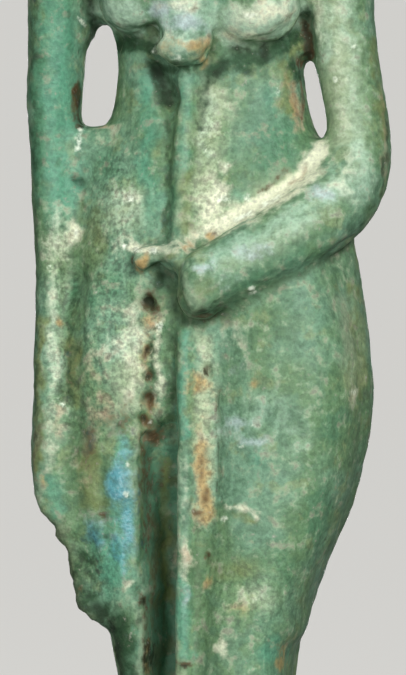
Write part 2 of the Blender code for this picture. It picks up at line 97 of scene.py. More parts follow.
# Sections up the body: z, half width, depth in front, depth behind
TORSO = (
    (16.5, 0.44, 0.52, 0.44),
    (16.1, 0.70, 0.70, 0.56),
    (15.75, 1.14, 0.76, 0.64),
    (15.45, 1.48, 0.80, 0.70),
    (15.1, 1.58, 0.82, 0.74),
    (14.6, 1.46, 0.82, 0.74),
    (14.1, 1.26, 0.80, 0.72),
    (13.8, 1.21, 0.76, 0.69),
    (13.5, 1.13, 0.71, 0.66),
    (13.1, 1.12, 0.68, 0.62),
    (12.7, 1.20, 0.70, 0.64),
    (12.3, 1.34, 0.78, 0.70),
    (11.7, 1.58, 0.88, 0.82),
    (11.1, 1.73, 0.95, 0.94),
    (10.5, 1.85, 0.98, 1.02),
    (9.9, 1.92, 0.97, 1.08),
    (9.33, 1.95, 0.93, 1.08),
    (8.74, 1.87, 0.88, 1.02),
    (8.14, 1.71, 0.82, 0.95),
    (7.55, 1.46, 0.74, 0.88),
    (6.95, 1.24, 0.62, 0.84),
    (6.4, 1.06, 0.50, 0.82),
    (5.0, 0.98, 0.36, 0.82),
    (3.0, 0.94, 0.30, 0.82),
    (0.9, 0.92, 0.26, 0.82),
)

# Sections down a leg inside the dress: z, x, y, half width, depth in front, behind
LEFT_LEG = (
    (12.0, 0.55, -0.05, 0.50, 0.66, 0.50),
    (11.2, 0.76, -0.09, 0.74, 0.88, 0.60),
    (10.4, 0.90, -0.14, 0.86, 0.95, 0.70),
    (9.6, 0.97, -0.20, 0.90, 0.97, 0.80),
    (8.6, 0.93, -0.28, 0.88, 0.96, 0.80),
    (7.6, 0.79, -0.38, 0.72, 0.94, 0.80),
    (6.95, 0.67, -0.46, 0.61, 0.91, 0.80),
    (6.55, 0.63, -0.52, 0.58, 0.88, 0.80),
    (6.40, 0.58, -0.55, 0.52, 0.86, 0.80),
    (5.2, 0.56, -0.78, 0.50, 0.78, 1.00),
    (3.8, 0.55, -1.05, 0.48, 0.68, 1.30),
    (2.2, 0.54, -1.36, 0.46, 0.60, 1.60),
    (0.9, 0.54, -1.62, 0.48, 0.60, 1.90),
)
RIGHT_LEG = (
    (11.8, -0.55, 0.00, 0.50, 0.62, 0.50),
    (11.0, -0.78, -0.02, 0.72, 0.82, 0.60),
    (10.2, -0.92, -0.04, 0.82, 0.90, 0.75),
    (9.4, -0.96, -0.05, 0.86, 0.92, 0.80),
    (8.4, -0.93, -0.05, 0.80, 0.92, 0.80),
    (7.5, -0.80, -0.05, 0.66, 0.88, 0.70),
    (6.8, -0.70, -0.05, 0.54, 0.84, 0.60),
    (6.1, -0.62, -0.05, 0.46, 0.80, 0.60),
    (4.5, -0.58, -0.03, 0.42, 0.74, 0.60),
    (2.5, -0.56, 0.00, 0.40, 0.64, 0.60),
    (0.9, -0.56, 0.02, 0.42, 0.62, 0.60),
)
STEM_WEB = (
    (11.2, 0.20, 0.0, 0.40, 0.96, 0.0),
    (10.4, 0.16, 0.0, 0.32, 0.99, 0.0),
    (9.4, 0.14, 0.0, 0.30, 1.02, 0.0),
    (8.0, 0.14, 0.0, 0.29, 1.07, 0.0),
    (6.0, 0.16, 0.0, 0.28, 1.20, 0.0),
    (3.0, 0.18, 0.0, 0.28, 1.38, 0.0),
    (0.9, 0.20, 0.0, 0.28, 1.56, 0.0),
)

# Centre line of a limb: x, y, z and its half width
RIGHT_ARM = (
    (-1.28, 0.02, 15.30, 0.38),
    (-1.60, 0.00, 15.12, 0.46),
    (-1.76, -0.04, 14.7, 0.42),
    (-1.82, -0.08, 14.1, 0.38),
    (-1.86, -0.10, 13.4, 0.34),
    (-1.88, -0.12, 12.8, 0.32),
    (-1.87, -0.15, 12.2, 0.29),
    (-1.85, -0.20, 11.5, 0.26),
    (-1.84, -0.26, 10.8, 0.23),
    (-1.85, -0.31, 10.1, 0.20),
    (-1.86, -0.35, 9.4, 0.19),
    (-1.88, -0.38, 8.8, 0.21),
)
RIGHT_ARM_DEPTH = 1.35
LEFT_UPPER_ARM = (
    (1.16, 0.02, 15.30, 0.38),
    (1.42, 0.00, 15.12, 0.47),
    (1.52, -0.04, 14.7, 0.44),
    (1.56, -0.06, 14.1, 0.41),
    (1.63, -0.08, 13.5, 0.39),
    (1.75, -0.10, 12.9, 0.365),
    (1.80, -0.12, 12.6, 0.355),
    (1.80, -0.14, 12.3, 0.39),
    (1.72, -0.22, 11.85, 0.44),
)
LEFT_UPPER_ARM_DEPTH = 1.15
LEFT_FOREARM = (
    (1.76, -0.18, 12.0, 0.42),
    (1.62, -0.36, 11.72, 0.47),
    (1.36, -0.62, 11.42, 0.46),
    (1.02, -0.84, 11.16, 0.45),
    (0.66, -1.00, 10.95, 0.43),
    (0.30, -1.10, 10.76, 0.41),
    (0.06, -1.14, 10.65, 0.40),
)
# Webs of paste between her arms and her side: two corners of each
WEBS = (
    ((-1.80, -0.22, 13.80), (-1.00, 0.42, 15.00)),
    ((-1.84, -0.20, 13.58), (-1.44, 0.30, 14.20)),
    ((-1.84, -0.42, 9.20), (-1.00, 0.40, 12.56)),
    ((1.00, -0.24, 13.36), (1.60, 0.42, 15.00)),
    ((1.05, -0.50, 11.30), (1.75, 0.40, 12.38)),
)
FIST = ((-0.14, -1.52, 10.26), (0.40, -0.80, 11.00))
FINGER_ENDS = ((-0.52, -0.93, 10.30), (-0.08, -0.66, 10.80))
THUMB = (
    (-0.66, -0.97, 10.98, 0.12),
    (-0.50, -1.00, 11.01, 0.13),
    (-0.32, -1.05, 11.02, 0.15),
    (-0.06, -1.14, 10.98, 0.19),
)
BREASTS = (
    ((-0.78, -0.62, 14.08), (0.46, 0.44, 0.46)),
    ((0.68, -0.62, 13.98), (0.54, 0.46, 0.50)),
)

# The broken hand, as it shows from the front: x and z
BROKEN_EDGE = (
    (-1.95, 9.30),
    (-2.01, 8.60),
    (-2.01, 8.25),
    (-1.96, 8.12),
    (-1.86, 7.96),
    (-1.70, 7.80),
    (-1.63, 7.55),
    (-1.59, 7.32),
    (-1.52, 7.10),
    (-1.47, 6.92),
    (-1.34, 6.75),
    (-1.18, 6.62),
    (-1.00, 6.72),
    (-0.95, 7.60),
    (-1.30, 8.60),
    (-1.72, 9.30),
)
BROKEN_FRONT = -0.78
BROKEN_BACK = 0.10
BACK_OF_HAND = ((-1.87, -0.40, 8.62), (0.21, 0.42, 0.52))

# The sceptre
STEM_ABOVE = (
    (-0.13, -0.66, 13.5, 0.16),
    (-0.14, -0.64, 13.1, 0.155),
    (-0.15, -0.66, 12.7, 0.15),
    (-0.16, -0.74, 12.3, 0.15),
    (-0.17, -0.85, 11.7, 0.14),
    (-0.18, -0.94, 11.0, 0.14),
)
STEM_BELOW = (
    (-0.12, -0.96, 10.6, 0.12),
    (-0.10, -1.00, 9.6, 0.11),
    (-0.09, -1.06, 8.5, 0.11),
    (-0.07, -1.19, 6.0, 0.11),
    (-0.03, -1.38, 3.0, 0.12),
    (0.0, -1.62, -0.1, 0.14),
)
FLOWER = (
    (0.0, 13.22),
    (0.17, 13.26),
    (0.28, 13.36),
    (0.34, 13.50),
    (0.33, 13.64),
    (0.35, 13.78),
    (0.42, 14.10),
    (0.50, 14.40),
    (0.56, 14.54),
    (0.50, 14.62),
    (0.0, 14.64),
)
FLOWER_FOOT = (-0.13, -0.84)
FLOWER_FLATNESS = 0.72
# Radius at the ends of a turned profile, which one point then closes
LEAST_RADIUS = 0.002

# The slot between the legs: z, left side, right side and floor
SLOT = (
    (10.3, -0.40, -0.23, -1.00),
    (9.9, -0.42, -0.21, -0.90),
    (9.4, -0.44, -0.20, -0.82),
    (9.1, -0.50, -0.20, -0.76),
    (8.9, -0.58, -0.20, -0.68),
    (8.7, -0.65, -0.20, -0.58),
    (8.4, -0.68, -0.20, -0.42),
    (7.8, -0.68, -0.19, -0.14),
    (6.5, -0.66, -0.18, -0.04),
    (4.0, -0.62, -0.16, -0.04),
    (-0.4, -0.62, -0.15, -0.04),
)

# Unevenness of its sides and floor: height, size of the noise, and its seed
SLOT_LEFT_NOISE = ((0.05, 0.30, 31), (0.02, 0.12, 32))
SLOT_FLOOR_NOISE = ((0.05, 0.26, 33), (0.03, 0.11, 34))
SLOT_RIGHT_NOISE = ((0.02, 0.3, 35),)
# Width of the sloping wall on her right leg, by height
SLOT_WALL = ((8.7, 0.15), (9.1, 0.30))
# Width of the upright wall on her left leg, and how far the slot fades out at its top
SLOT_LEFT_WALL = 0.03
SLOT_TOP_FADE = 0.5
# Where the slot's lips lie, by height, and how deep behind them its colours are full
SLOT_LIPS = ((6.0, -0.80), (8.5, -0.92), (10.3, -1.0))
SLOT_SIDE_FADE = (-0.03, 0.02)
SLOT_DEPTH_FADE = (0.02, 0.25)
# Highest and hindmost place that is painted as the slot
SLOT_PAINT_TOP = 9.05
SLOT_PAINT_BACK = 1.0

# Sections along a foot: y, half width, height, all from its ankle
FOOT = (
    (0.46, 0.22, 0.50),
    (0.20, 0.36, 0.86),
    (-0.20, 0.37, 0.96),
    (-0.70, 0.37, 0.66),
    (-1.20, 0.42, 0.46),
    (-1.60, 0.43, 0.34),
)
SOLE_SHARE = 0.25
ANKLE = (
    (-0.10, 0.34, 0.40, 0.44),
    (0.30, 0.29, 0.38, 0.36),
    (0.60, 0.27, 0.32, 0.31),
    (1.20, 0.29, 0.34, 0.36),
)
ANKLES = ((0.54, -1.66), (-0.56, -0.02))
TOES = 5
GREAT_TOE = (0.32, -1.68, 0.15)
GREAT_TOE_RADII = (0.125, 0.24, 0.17)
TOE_SPAN = 0.66
TOE_RETREAT = 0.28
TOE_TAPER = 0.28

# Sections up the wig: z, half width, depth in front, depth behind
WIG_Y = 0.02
WIG = (
    (18.42, 0.34, 0.22, 0.34),
    (18.28, 0.66, 0.40, 0.58),
    (17.9, 0.92, 0.52, 0.78),
    (17.4, 1.04, 0.50, 0.88),
    (16.9, 1.12, 0.48, 0.92),
    (16.4, 1.20, 0.48, 0.92),
    (15.9, 1.26, 0.48, 0.90),
    (15.3, 1.24, 0.44, 0.86),
    (14.9, 1.10, 0.34, 0.82),
)
LAPPET = (
    (17.2, 0.94, -0.16, 0.20, 0.24, 0.30),
    (16.7, 0.96, -0.34, 0.27, 0.30, 0.40),
    (16.1, 0.88, -0.60, 0.32, 0.32, 0.40),
    (15.5, 0.78, -0.76, 0.33, 0.28, 0.40),
    (14.9, 0.70, -0.84, 0.31, 0.26, 0.40),
    (14.12, 0.63, -0.88, 0.26, 0.24, 0.40),
)

# The masses of the head: centre and radii
HEAD = (
    ((0.0, -0.28, 17.44), (0.78, 0.80, 0.80)),
    ((0.0, -0.38, 16.30), (0.62, 0.44, 0.70)),
    ((0.0, -1.00, 17.00), (0.44, 0.52, 0.35)),
    ((0.0, -1.46, 17.23), (0.18, 0.11, 0.11)),
    ((0.0, -1.10, 16.74), (0.27, 0.34, 0.18)),
)
HEAD_PAIRS = (
    ((0.46, -0.62, 17.08), (0.37, 0.42, 0.44)),
    ((0.20, -1.24, 16.99), (0.25, 0.27, 0.24)),
    ((0.34, -0.86, 17.72), (0.26, 0.20, 0.14)),
    ((0.38, -0.90, 17.49), (0.17, 0.14, 0.10)),
)
NOSE_LINE = (
    (0.0, -0.62, 17.92, 0.30),
    (0.0, -0.88, 17.68, 0.27),
    (0.0, -1.12, 17.48, 0.21),
    (0.0, -1.34, 17.32, 0.17),
    (0.0, -1.44, 17.24, 0.15),
)
RUFF_CENTRE = (0.0, -0.58, 17.14)
RUFF_RADII = (0.88, 0.88)
RUFF_TUBE = 0.17
EAR = ((0.64, -0.34, 18.18), (0.28, 0.15, 0.30))
EAR_HOLLOW = ((0.67, -0.50, 18.20), (0.17, 0.13, 0.19))


def hex_colour(code):
    """An sRGB hex code as a linear RGBA colour."""
    parts = [int(code[i : i + 2], 16) / 255 for i in (1, 3, 5)]
    linear = [p / 12.92 if p <= 0.04045 else ((p + 0.055) / 1.055) ** 2.4 for p in parts]
    return (*linear, 1.0)


def placed(points):
    """Points in squares as points in metres."""
    shift = np.array([0.0, AXIS_Y, BASE_HEIGHT])
    return np.asarray(points, float) * SQUARE + shift


def in_squares(points):
    """Points in metres as points in squares."""
    return (points - np.array([0.0, AXIS_Y, BASE_HEIGHT])) / SQUARE


def seen_from_camera(points):
    """Where points in squares fall in the frame: u to the right and v down, in pixels."""
    across = points[:, 0] * math.cos(VIEW_TURN) + points[:, 1] * math.sin(VIEW_TURN)
    return AXIS_U + PIXELS_PER_SQUARE * across, SOLE_V - PIXELS_PER_SQUARE * points[:, 2]


def smooth_rows(rows, count):
    """Rows read as smooth curves of their first column: cubics between rows, with slopes kept low
    enough that a curve never passes the next row."""
    table = np.array(rows, float)
    steps = np.linspace(table[0, 0], table[-1, 0], count)
    values = table[np.argsort(table[:, 0])]
    knots = values[:, 0]
    rises = np.diff(values, axis=0) / np.diff(knots)[:, None]
    steepest = 3 * np.minimum(
        np.vstack([abs(rises[:1]), abs(rises)]), np.vstack([abs(rises), abs(rises[-1:])])
    )
    slopes = np.clip(np.gradient(values, knots, axis=0), -steepest, steepest)
    cell = np.clip(np.searchsorted(knots, steps) - 1, 0, len(knots) - 2)
    width = (knots[cell + 1] - knots[cell])[:, None]
    t = (steps[:, None] - knots[cell][:, None]) / width
    return (
        (2 * t**3 - 3 * t**2 + 1) * values[cell]
        + (t**3 - 2 * t**2 + t) * width * slopes[cell]
        + (3 * t**2 - 2 * t**3) * values[cell + 1]
        + (t**3 - t**2) * width * slopes[cell + 1]
    )


class Clay:
    """Closed surfaces in squares, gathered before they are pressed into one skin."""

    def __init__(self):
        self.points = []
        self.faces = []
        self.count = 0

    def add_grid(self, grid):
        """A grid of rings, row by row, closed round each ring and with a point in each end."""
        rows, columns, _ = grid.shape
        ends = np.array([grid[0].mean(axis=0), grid[-1].mean(axis=0)])
        points = np.vstack([grid.reshape(-1, 3), ends])
        row, column = np.meshgrid(np.arange(rows - 1), np.arange(columns), indexing="ij")
        after = (column + 1) % columns
        a = row * columns + column
        b = row * columns + after
        sides = [a, b, b + columns, a + columns]
        quads = np.stack(sides, axis=-1).reshape(-1, 4)
        ring = np.arange(columns)
        turn = (ring + 1) % columns
        first = np.full(columns, rows * columns)
        last = (rows - 1) * columns
        low = np.stack([turn, ring, first, first], axis=-1)
        high = np.stack([last + ring, last + turn, first + 1, first + 1], axis=-1)
        self.points.append(points)
        self.faces.append(np.vstack([quads, low, high]) + self.count)
        self.count += len(points)

    def oval(self, turn, wide, front, back, power):
        """Across and depth of a rounded section: cosine and sine, each raised to 2 / power."""
        cos, sin = np.cos(turn), np.sin(turn)
        across = wide * np.sign(cos) * abs(cos) ** (2 / power)
        deep = np.where(sin < 0, front, back) * np.sign(sin) * abs(sin) ** (2 / power)
        return across, deep

    def stack(self, rows, power=2.2, count=90, around=72):
        """Sections stacked up z: rows of z, x, y, half width, depth in front, depth behind."""
        z, x, y, wide, front, back = smooth_rows(rows, count).T[:, :, None]
        turn = np.linspace(0, 2 * math.pi, around, endpoint=False)[None, :]
        across, deep = self.oval(turn, wide, front, back, power)
        self.add_grid(np.stack([x + across, y + deep, z + 0 * across], axis=-1))

    def ball(self, centre, radii, power=2.0, count=40, around=48):
        """A ball whose three radii differ. A power over 2 squares it off towards a box."""
        lift = np.linspace(-math.pi / 2, math.pi / 2, count + 2)[1:-1, None]
        turn = np.linspace(0, 2 * math.pi, around, endpoint=False)[None, :]
        level = np.cos(lift) ** (2 / power)
        across, deep = self.oval(turn, radii[0], radii[1], radii[1], power)
        high = radii[2] * np.sign(np.sin(lift)) * abs(np.sin(lift)) ** (2 / power)
        grid = np.stack([level * across, level * deep, high + 0 * across], axis=-1)
        self.add_grid(grid + np.array(centre))

    def block(self, low, high, power):
        """A ball that fills a box between two corners, squared off by its power."""
        low, high = np.array(low), np.array(high)
        self.ball((low + high) / 2, (high - low) / 2, power, count=60, around=80)

    def limb(self, points, depth=1.0, around=40):
        """A round section carried along a smooth line. depth widens it from front to back."""
        line = np.array(points, float)
        steps = np.arange(len(line), dtype=float)
        fine = smooth_rows(np.column_stack([steps, line]), 8 * len(line))[:, 1:]
        path, radius = fine[:, :3], fine[:, 3]
        along = np.gradient(path, axis=0)
        along /= np.linalg.norm(along, axis=1)[:, None]
        side = np.cross(along, np.array([0.0, 1.0, 0.0]))
        side /= np.linalg.norm(side, axis=1)[:, None]
        other = np.cross(side, along)
        turn = np.linspace(0, 2 * math.pi, around, endpoint=False)[None, :, None]
        swing = np.cos(turn) * side[:, None, :] + np.sin(turn) * other[:, None, :]
        grid = path[:, None, :] + radius[:, None, None] * swing
        middle = line[:, 1].mean()
        grid[:, :, 1] = middle + (grid[:, :, 1] - middle) * depth
        self.add_grid(grid)

    def ring(self, centre, radii, tube, around=96, section=28):
        """A round tube bent into a ring that faces forwards."""
        turn = np.linspace(0, 2 * math.pi, around, endpoint=False)[:, None]
        swing = np.linspace(0, 2 * math.pi, section, endpoint=False)[None, :]
        out = tube * np.cos(swing)
        x = centre[0] + (radii[0] + out) * np.sin(turn)
        y = centre[1] + tube * np.sin(swing) + 0 * turn
        z = centre[2] + (radii[1] + out) * np.cos(turn)
        points = np.stack([x, y, z], axis=-1).reshape(-1, 3)
        row, column = np.meshgrid(np.arange(around), np.arange(section), indexing="ij")
        below = (row + 1) % around
        beside = (column + 1) % section
        corners = [(row, column), (row, beside), (below, beside), (below, column)]
        quads = np.stack([r * section + c for r, c in corners], axis=-1).reshape(-1, 4)
        self.points.append(points)
        self.faces.append(quads + self.count)
        self.count += len(points)

    def slab(self, outline, front, back, rounding):
        """An outline in x and z given depth from front to back. Its layers shrink towards its middle
        near both faces, by the rounding less a quarter circle of that radius."""
        edge = np.array(outline, float)
        middle = edge.mean(axis=0)
        depth = back - front
        t = np.linspace(-1, 1, 25)
        past = np.clip((abs(t) * depth / 2 - depth / 2 + rounding) / rounding, 0, 1)
        inset = rounding * (1 - np.sqrt(1 - past**2))
        reach = np.linalg.norm(edge - middle, axis=1)[None, :, None]
        shrunk = 1 - inset[:, None, None] / reach
        flat = middle + (edge - middle)[None] * shrunk
        y = np.broadcast_to((front + back) / 2 + t[:, None] * depth / 2, flat.shape[:2])
        self.add_grid(np.stack([flat[:, :, 0], y, flat[:, :, 1]], axis=-1))

    def turned(self, profile, foot, flatness, around=64):
        """A profile of radius and z turned about an upright axis, then flattened in depth."""
        steps = np.arange(len(profile), dtype=float)
        fine = smooth_rows(np.column_stack([steps, profile]), 6 * len(profile))
        radius = np.maximum(fine[:, 1:2], LEAST_RADIUS)
        turn = np.linspace(0, 2 * math.pi, around, endpoint=False)[None, :]
        x = foot[0] + radius * np.cos(turn)
        y = foot[1] + flatness * radius * np.sin(turn)
        self.add_grid(np.stack([x, y, fine[:, 2:3] + 0 * turn], axis=-1))

    def mesh(self, name):
        """All that was gathered, as one mesh in metres."""
        return mesh_of(name, placed(np.vstack(self.points)), np.vstack(self.faces))


def mesh_of(name, points, faces):
    """A mesh from arrays. A face whose last two corners are the same is a triangle."""
    quads = faces[faces[:, 2] != faces[:, 3]]
    fans = faces[faces[:, 2] == faces[:, 3]][:, :3]
    corners = np.concatenate([quads.ravel(), fans.ravel()]).astype(np.int32)
    sizes = np.concatenate([np.full(len(quads), 4), np.full(len(fans), 3)])
    starts = np.concatenate([[0], np.cumsum(sizes)[:-1]]).astype(np.int32)
    mesh = bpy.data.meshes.new(name)
    mesh.vertices.add(len(points))
    mesh.vertices.foreach_set("co", points.astype(np.float32).ravel())
    mesh.loops.add(len(corners))
    mesh.loops.foreach_set("vertex_index", corners)
    mesh.polygons.add(len(sizes))
    mesh.polygons.foreach_set("loop_start", starts)
    mesh.update(calc_edges=True)
    return mesh


def points_of(mesh):
    """A mesh's points, one row each."""
    flat = np.empty(len(mesh.vertices) * 3, np.float32)
    mesh.vertices.foreach_get("co", flat)
    return flat.reshape(-1, 3).astype(float)


def set_points(mesh, points):
    """Moves a mesh's points."""
    mesh.vertices.foreach_set("co", points.astype(np.float32).ravel())
    mesh.update()


def edges_of(mesh):
    """The two ends of each edge, as indices of points."""
    ends = np.empty(len(mesh.edges) * 2, np.int32)
    mesh.edges.foreach_get("vertices", ends)
    return ends.reshape(-1, 2)


def normals_of(mesh):
    """The normal at each point."""
    flat = np.empty(len(mesh.vertices) * 3, np.float32)
    mesh.vertex_normals.foreach_get("vector", flat)
    return flat.reshape(-1, 3).astype(float)


def finished(mesh, *modifiers):
    """The mesh after modifiers, each a type and its settings. The mesh itself is removed."""
    obj = bpy.data.objects.new("working", mesh)
    bpy.context.scene.collection.objects.link(obj)
    for kind, settings in modifiers:
        modifier = obj.modifiers.new(kind.lower(), kind)
        for name, value in settings.items():
            setattr(modifier, name, value)
    graph = bpy.context.evaluated_depsgraph_get()
    made = bpy.data.meshes.new_from_object(obj.evaluated_get(graph))
    bpy.data.objects.remove(obj)
    bpy.data.meshes.remove(mesh)
    return made


def one_skin(mesh, grain, rounds):
    """Overlapping surfaces made one by a voxel remesh, then softened as wet paste is."""
    return finished(
        mesh,
        ("REMESH", {"mode": "VOXEL", "voxel_size": grain}),
        ("SMOOTH", {"factor": 0.5, "iterations": rounds}),
    )


def joined(name, meshes):
    """Several meshes of triangles and quads as one. The meshes themselves are removed."""
    points, faces, count = [], [], 0
    for mesh in meshes:
        points.append(points_of(mesh))
        corners = np.empty(len(mesh.loops), np.int32)
        mesh.loops.foreach_get("vertex_index", corners)
        sizes = np.empty(len(mesh.polygons), np.int32)
        mesh.polygons.foreach_get("loop_total", sizes)
        starts = np.empty(len(mesh.polygons), np.int32)
        mesh.polygons.foreach_get("loop_start", starts)
        fourth = np.where(sizes == 4, starts + 3, starts + 2)
        index = np.stack([starts, starts + 1, starts + 2, fourth], axis=-1)
        faces.append(corners[index] + count)
        count += len(mesh.vertices)
        bpy.data.meshes.remove(mesh)
    return mesh_of(name, np.vstack(points), np.vstack(faces))


def soft_forms():
    """The forms that flow into each other: body, legs, arms, breasts, wig and broken hand."""
    clay = Clay()
    clay.stack([(z, 0.0, 0.0, *rest) for z, *rest in TORSO], count=180, around=96)
    clay.stack(LEFT_LEG, power=LEG_POWER, around=80)
    clay.stack(RIGHT_LEG, power=LEG_POWER, around=80)
    clay.stack(STEM_WEB, power=STEM_WEB_POWER)
    for centre, radii in BREASTS:
        clay.ball(centre, radii)
    clay.limb(RIGHT_ARM, RIGHT_ARM_DEPTH)
    clay.limb(LEFT_UPPER_ARM, LEFT_UPPER_ARM_DEPTH)
    clay.limb(LEFT_FOREARM)
    for low, high in WEBS:
        clay.block(low, high, WEB_POWER)
    clay.slab(BROKEN_EDGE, BROKEN_FRONT, BROKEN_BACK, BREAK_ROUNDING)
    clay.ball(*BACK_OF_HAND)
    clay.stack([(z, 0.0, WIG_Y, *rest) for z, *rest in WIG])
    for side in (-1, 1):
        clay.stack([(z, side * x, *rest) for z, x, *rest in LAPPET], power=LAPPET_POWER)
    return clay.mesh("body")


def held_forms():
    """The sceptre and the fist that holds it, blurred into the body by wear."""
    clay = Clay()
    clay.block(*FIST, FIST_POWER)
    clay.block(*FINGER_ENDS, FINGERS_POWER)
    clay.limb(THUMB)
    clay.limb(STEM_ABOVE)
    clay.limb(STEM_BELOW)
    clay.turned(FLOWER, FLOWER_FOOT, FLOWER_FLATNESS)
    return clay.mesh("held_forms")


def crisp_forms():
    """The forms with the clearest edges: feet, head and ears."""
    clay = Clay()
    for ankle_x, ankle_y in ANKLES:
        add_foot(clay, ankle_x, ankle_y)
    for centre, radii in HEAD:
        clay.ball(centre, radii)
    for (x, y, z), radii in HEAD_PAIRS:
        for side in (-1, 1):
            clay.ball((side * x, y, z), radii)
    clay.limb(NOSE_LINE)
    clay.ring(RUFF_CENTRE, RUFF_RADII, RUFF_TUBE)
    (x, y, z), radii = EAR
    for side in (-1, 1):
        clay.ball((side * x, y, z), radii)
    return clay.mesh("crisp_forms")


def add_foot(clay, ankle_x, ankle_y):
    """Sections along a foot, its ankle, and its toes as a fan of small balls."""
    y, wide, height = smooth_rows(FOOT, 40).T[:, :, None]
    turn = np.linspace(0, 2 * math.pi, 48, endpoint=False)[None, :]
    sole = height * SOLE_SHARE
    across, up = clay.oval(turn, wide, sole, height - sole, FOOT_POWER)
    clay.add_grid(np.stack([ankle_x + across, ankle_y + y + 0 * across, sole + up], axis=-1))
    clay.stack([(z, ankle_x, ankle_y, *rest) for z, *rest in ANKLE], count=16)
    inward = -math.copysign(1, ankle_x)
    x, y, z = GREAT_TOE
    wide, long, high = GREAT_TOE_RADII
    for toe in range(TOES):
        share = toe / (TOES - 1)
        across = ankle_x + inward * (x - TOE_SPAN * share)
        forward = ankle_y + y + TOE_RETREAT * share**1.5
        clay.ball((across, forward, z), (wide * (1 - TOE_TAPER * share), long, high))


def plinth_forms():
    """The base and the back pillar, as boxes with worn edges."""
    half = BASE_DEPTH / 2
    back = half - PILLAR_INSET
    base = box_mesh(
        "base", (-BASE_WIDTH / 2, -half, 0), (BASE_WIDTH / 2, half, BASE_HEIGHT), BASE_EDGE
    )
    pillar = box_mesh(
        "pillar",
        (-PILLAR_WIDTH / 2, back - PILLAR_DEPTH, BASE_HEIGHT - FOOT_SINK),
        (PILLAR_WIDTH / 2, back, BASE_HEIGHT + PILLAR_TOP * SQUARE),
        PILLAR_EDGE,
    )
    return [base, pillar]


def box_mesh(name, low, high, edge):
    """A box between two corners in metres, with its edges rounded."""
    x, y, z = ((a, b) for a, b in zip(low, high))
    points = np.array([(i, j, k) for k in z for j in y for i in x], float)
    faces = np.array(
        [(0, 2, 3, 1), (4, 5, 7, 6), (0, 1, 5, 4), (2, 6, 7, 3), (0, 4, 6, 2), (1, 3, 7, 5)]
    )
    return finished(mesh_of(name, points, faces), ("BEVEL", {"width": edge, "segments": 4}))


def slot_at(points):
    """The slot's left side, right side and floor at each point's height, uneven as carved paste."""
    table = smooth_rows(SLOT, 200)[::-1]
    left, right, floor = (np.interp(points[:, 2], table[:, 0], table[:, i]) for i in (1, 2, 3))
    left = uneven(left, points, SLOT_LEFT_NOISE)
    floor = uneven(floor, points, SLOT_FLOOR_NOISE)
    return left, uneven(right, points, SLOT_RIGHT_NOISE), floor


def cut_slot(mesh):
    """Every point in front of the slot's floor is pushed back to it, all the way near her left leg
    and less and less towards her right leg, which leaves a sloping wall there."""
    points = in_squares(points_of(mesh))
    left, right, floor = slot_at(points)
    x, y, z = points.T
    slope = np.interp(z, *zip(*SLOT_WALL))
    share = step_up((x - left) / slope, 0.0, 1.0) * step_up(right - x, 0.0, SLOT_LEFT_WALL)
    share *= (z > SLOT[-1][0]) * step_up(SLOT[0][0] - z, 0.0, SLOT_TOP_FADE)
    points[:, 1] += np.clip(floor - y, 0, None) * share
    set_points(mesh, placed(points))


# Large odd numbers that scatter a cell's place and a seed into a value of its own
CELL_KEYS = np.array([73856093, 19349663, 83492791])
SEED_KEY = 2654435761
FIRST_MIX = 1274126177
SECOND_MIX = 2246822519
ALL_BITS = 0xFFFFFFFF
HALF_BITS = 0xFFFF
# Shifts that keep the middle of the figure off the corner of a cell
CLOUD_SHIFT = 31.7
BUBBLE_SHIFT = 17.3
BUBBLE_RADIUS = 0.12
BUBBLE_SPREAD = 0.16
BUBBLE_WALL = 0.7


def turned_lattice(seed):
    """A turn of the noise's grid that differs for each seed, so no grain lies along an axis."""
    a, b, c = seed * 1.7 + 0.4, seed * 2.9 + 0.8, seed * 0.6 + 1.1
    about_z = np.array([[math.cos(a), -math.sin(a), 0], [math.sin(a), math.cos(a), 0], [0, 0, 1]])
    about_y = np.array([[math.cos(b), 0, math.sin(b)], [0, 1, 0], [-math.sin(b), 0, math.cos(b)]])
    about_x = np.array([[1, 0, 0], [0, math.cos(c), -math.sin(c)], [0, math.sin(c), math.cos(c)]])
    return about_z @ about_y @ about_x


def chance(cell, seed):
    """A random value from 0 to 1 for each cell of a grid, the same on every run."""
    key = cell @ CELL_KEYS + seed * SEED_KEY
    key = ((key ^ (key >> 13)) * FIRST_MIX) & ALL_BITS
    key = ((key ^ (key >> 15)) * SECOND_MIX) & ALL_BITS
    return ((key ^ (key >> 16)) & HALF_BITS) / HALF_BITS


def cloud(points, size, seed):
    """Smooth noise from -1 to 1: random values on a grid of cells, blended between its corners."""
    scaled = points @ turned_lattice(seed) / size + CLOUD_SHIFT
    cell = np.floor(scaled).astype(np.int64)
    t = scaled - cell
    t = t * t * (3 - 2 * t)
    total = np.zeros(len(points))
    for corner in range(8):
        step = np.array([corner & 1, corner >> 1 & 1, corner >> 2 & 1])
        weight = np.where(step == 1, t, 1 - t).prod(axis=1)
        total += weight * (2 * chance(cell + step, seed) - 1)
    return total


def uneven(values, points, noises):
    """Values with noises added, each of them a height, a size and a seed."""
    for height, size, seed in noises:
        values = values + height * cloud(points, size, seed)
    return values


def bubbles(points, size, share, seed):
    """Round pits: a share of the cells of a grid holds one each, at a random place and of a random
    width. 1 in the middle of a pit and 0 outside."""
    scaled = points @ turned_lattice(seed) / size + BUBBLE_SHIFT
    cell = np.floor(scaled).astype(np.int64)
    radius = BUBBLE_RADIUS + BUBBLE_SPREAD * chance(cell, seed + 1)
    reach = 1 - 2 * radius[:, None]
    where = np.stack([chance(cell, seed + i) for i in (2, 3, 4)], axis=-1) * reach
    away = np.linalg.norm(scaled - cell - where - radius[:, None], axis=1) / radius
    return step_up(1 - away, 0, BUBBLE_WALL) * (chance(cell, seed + 5) < share)


def step_up(value, low, high):
    """0 below low and 1 above high, smooth between them."""
    t = np.clip((value - low) / (high - low), 0, 1)
    return t * t * (3 - 2 * t)


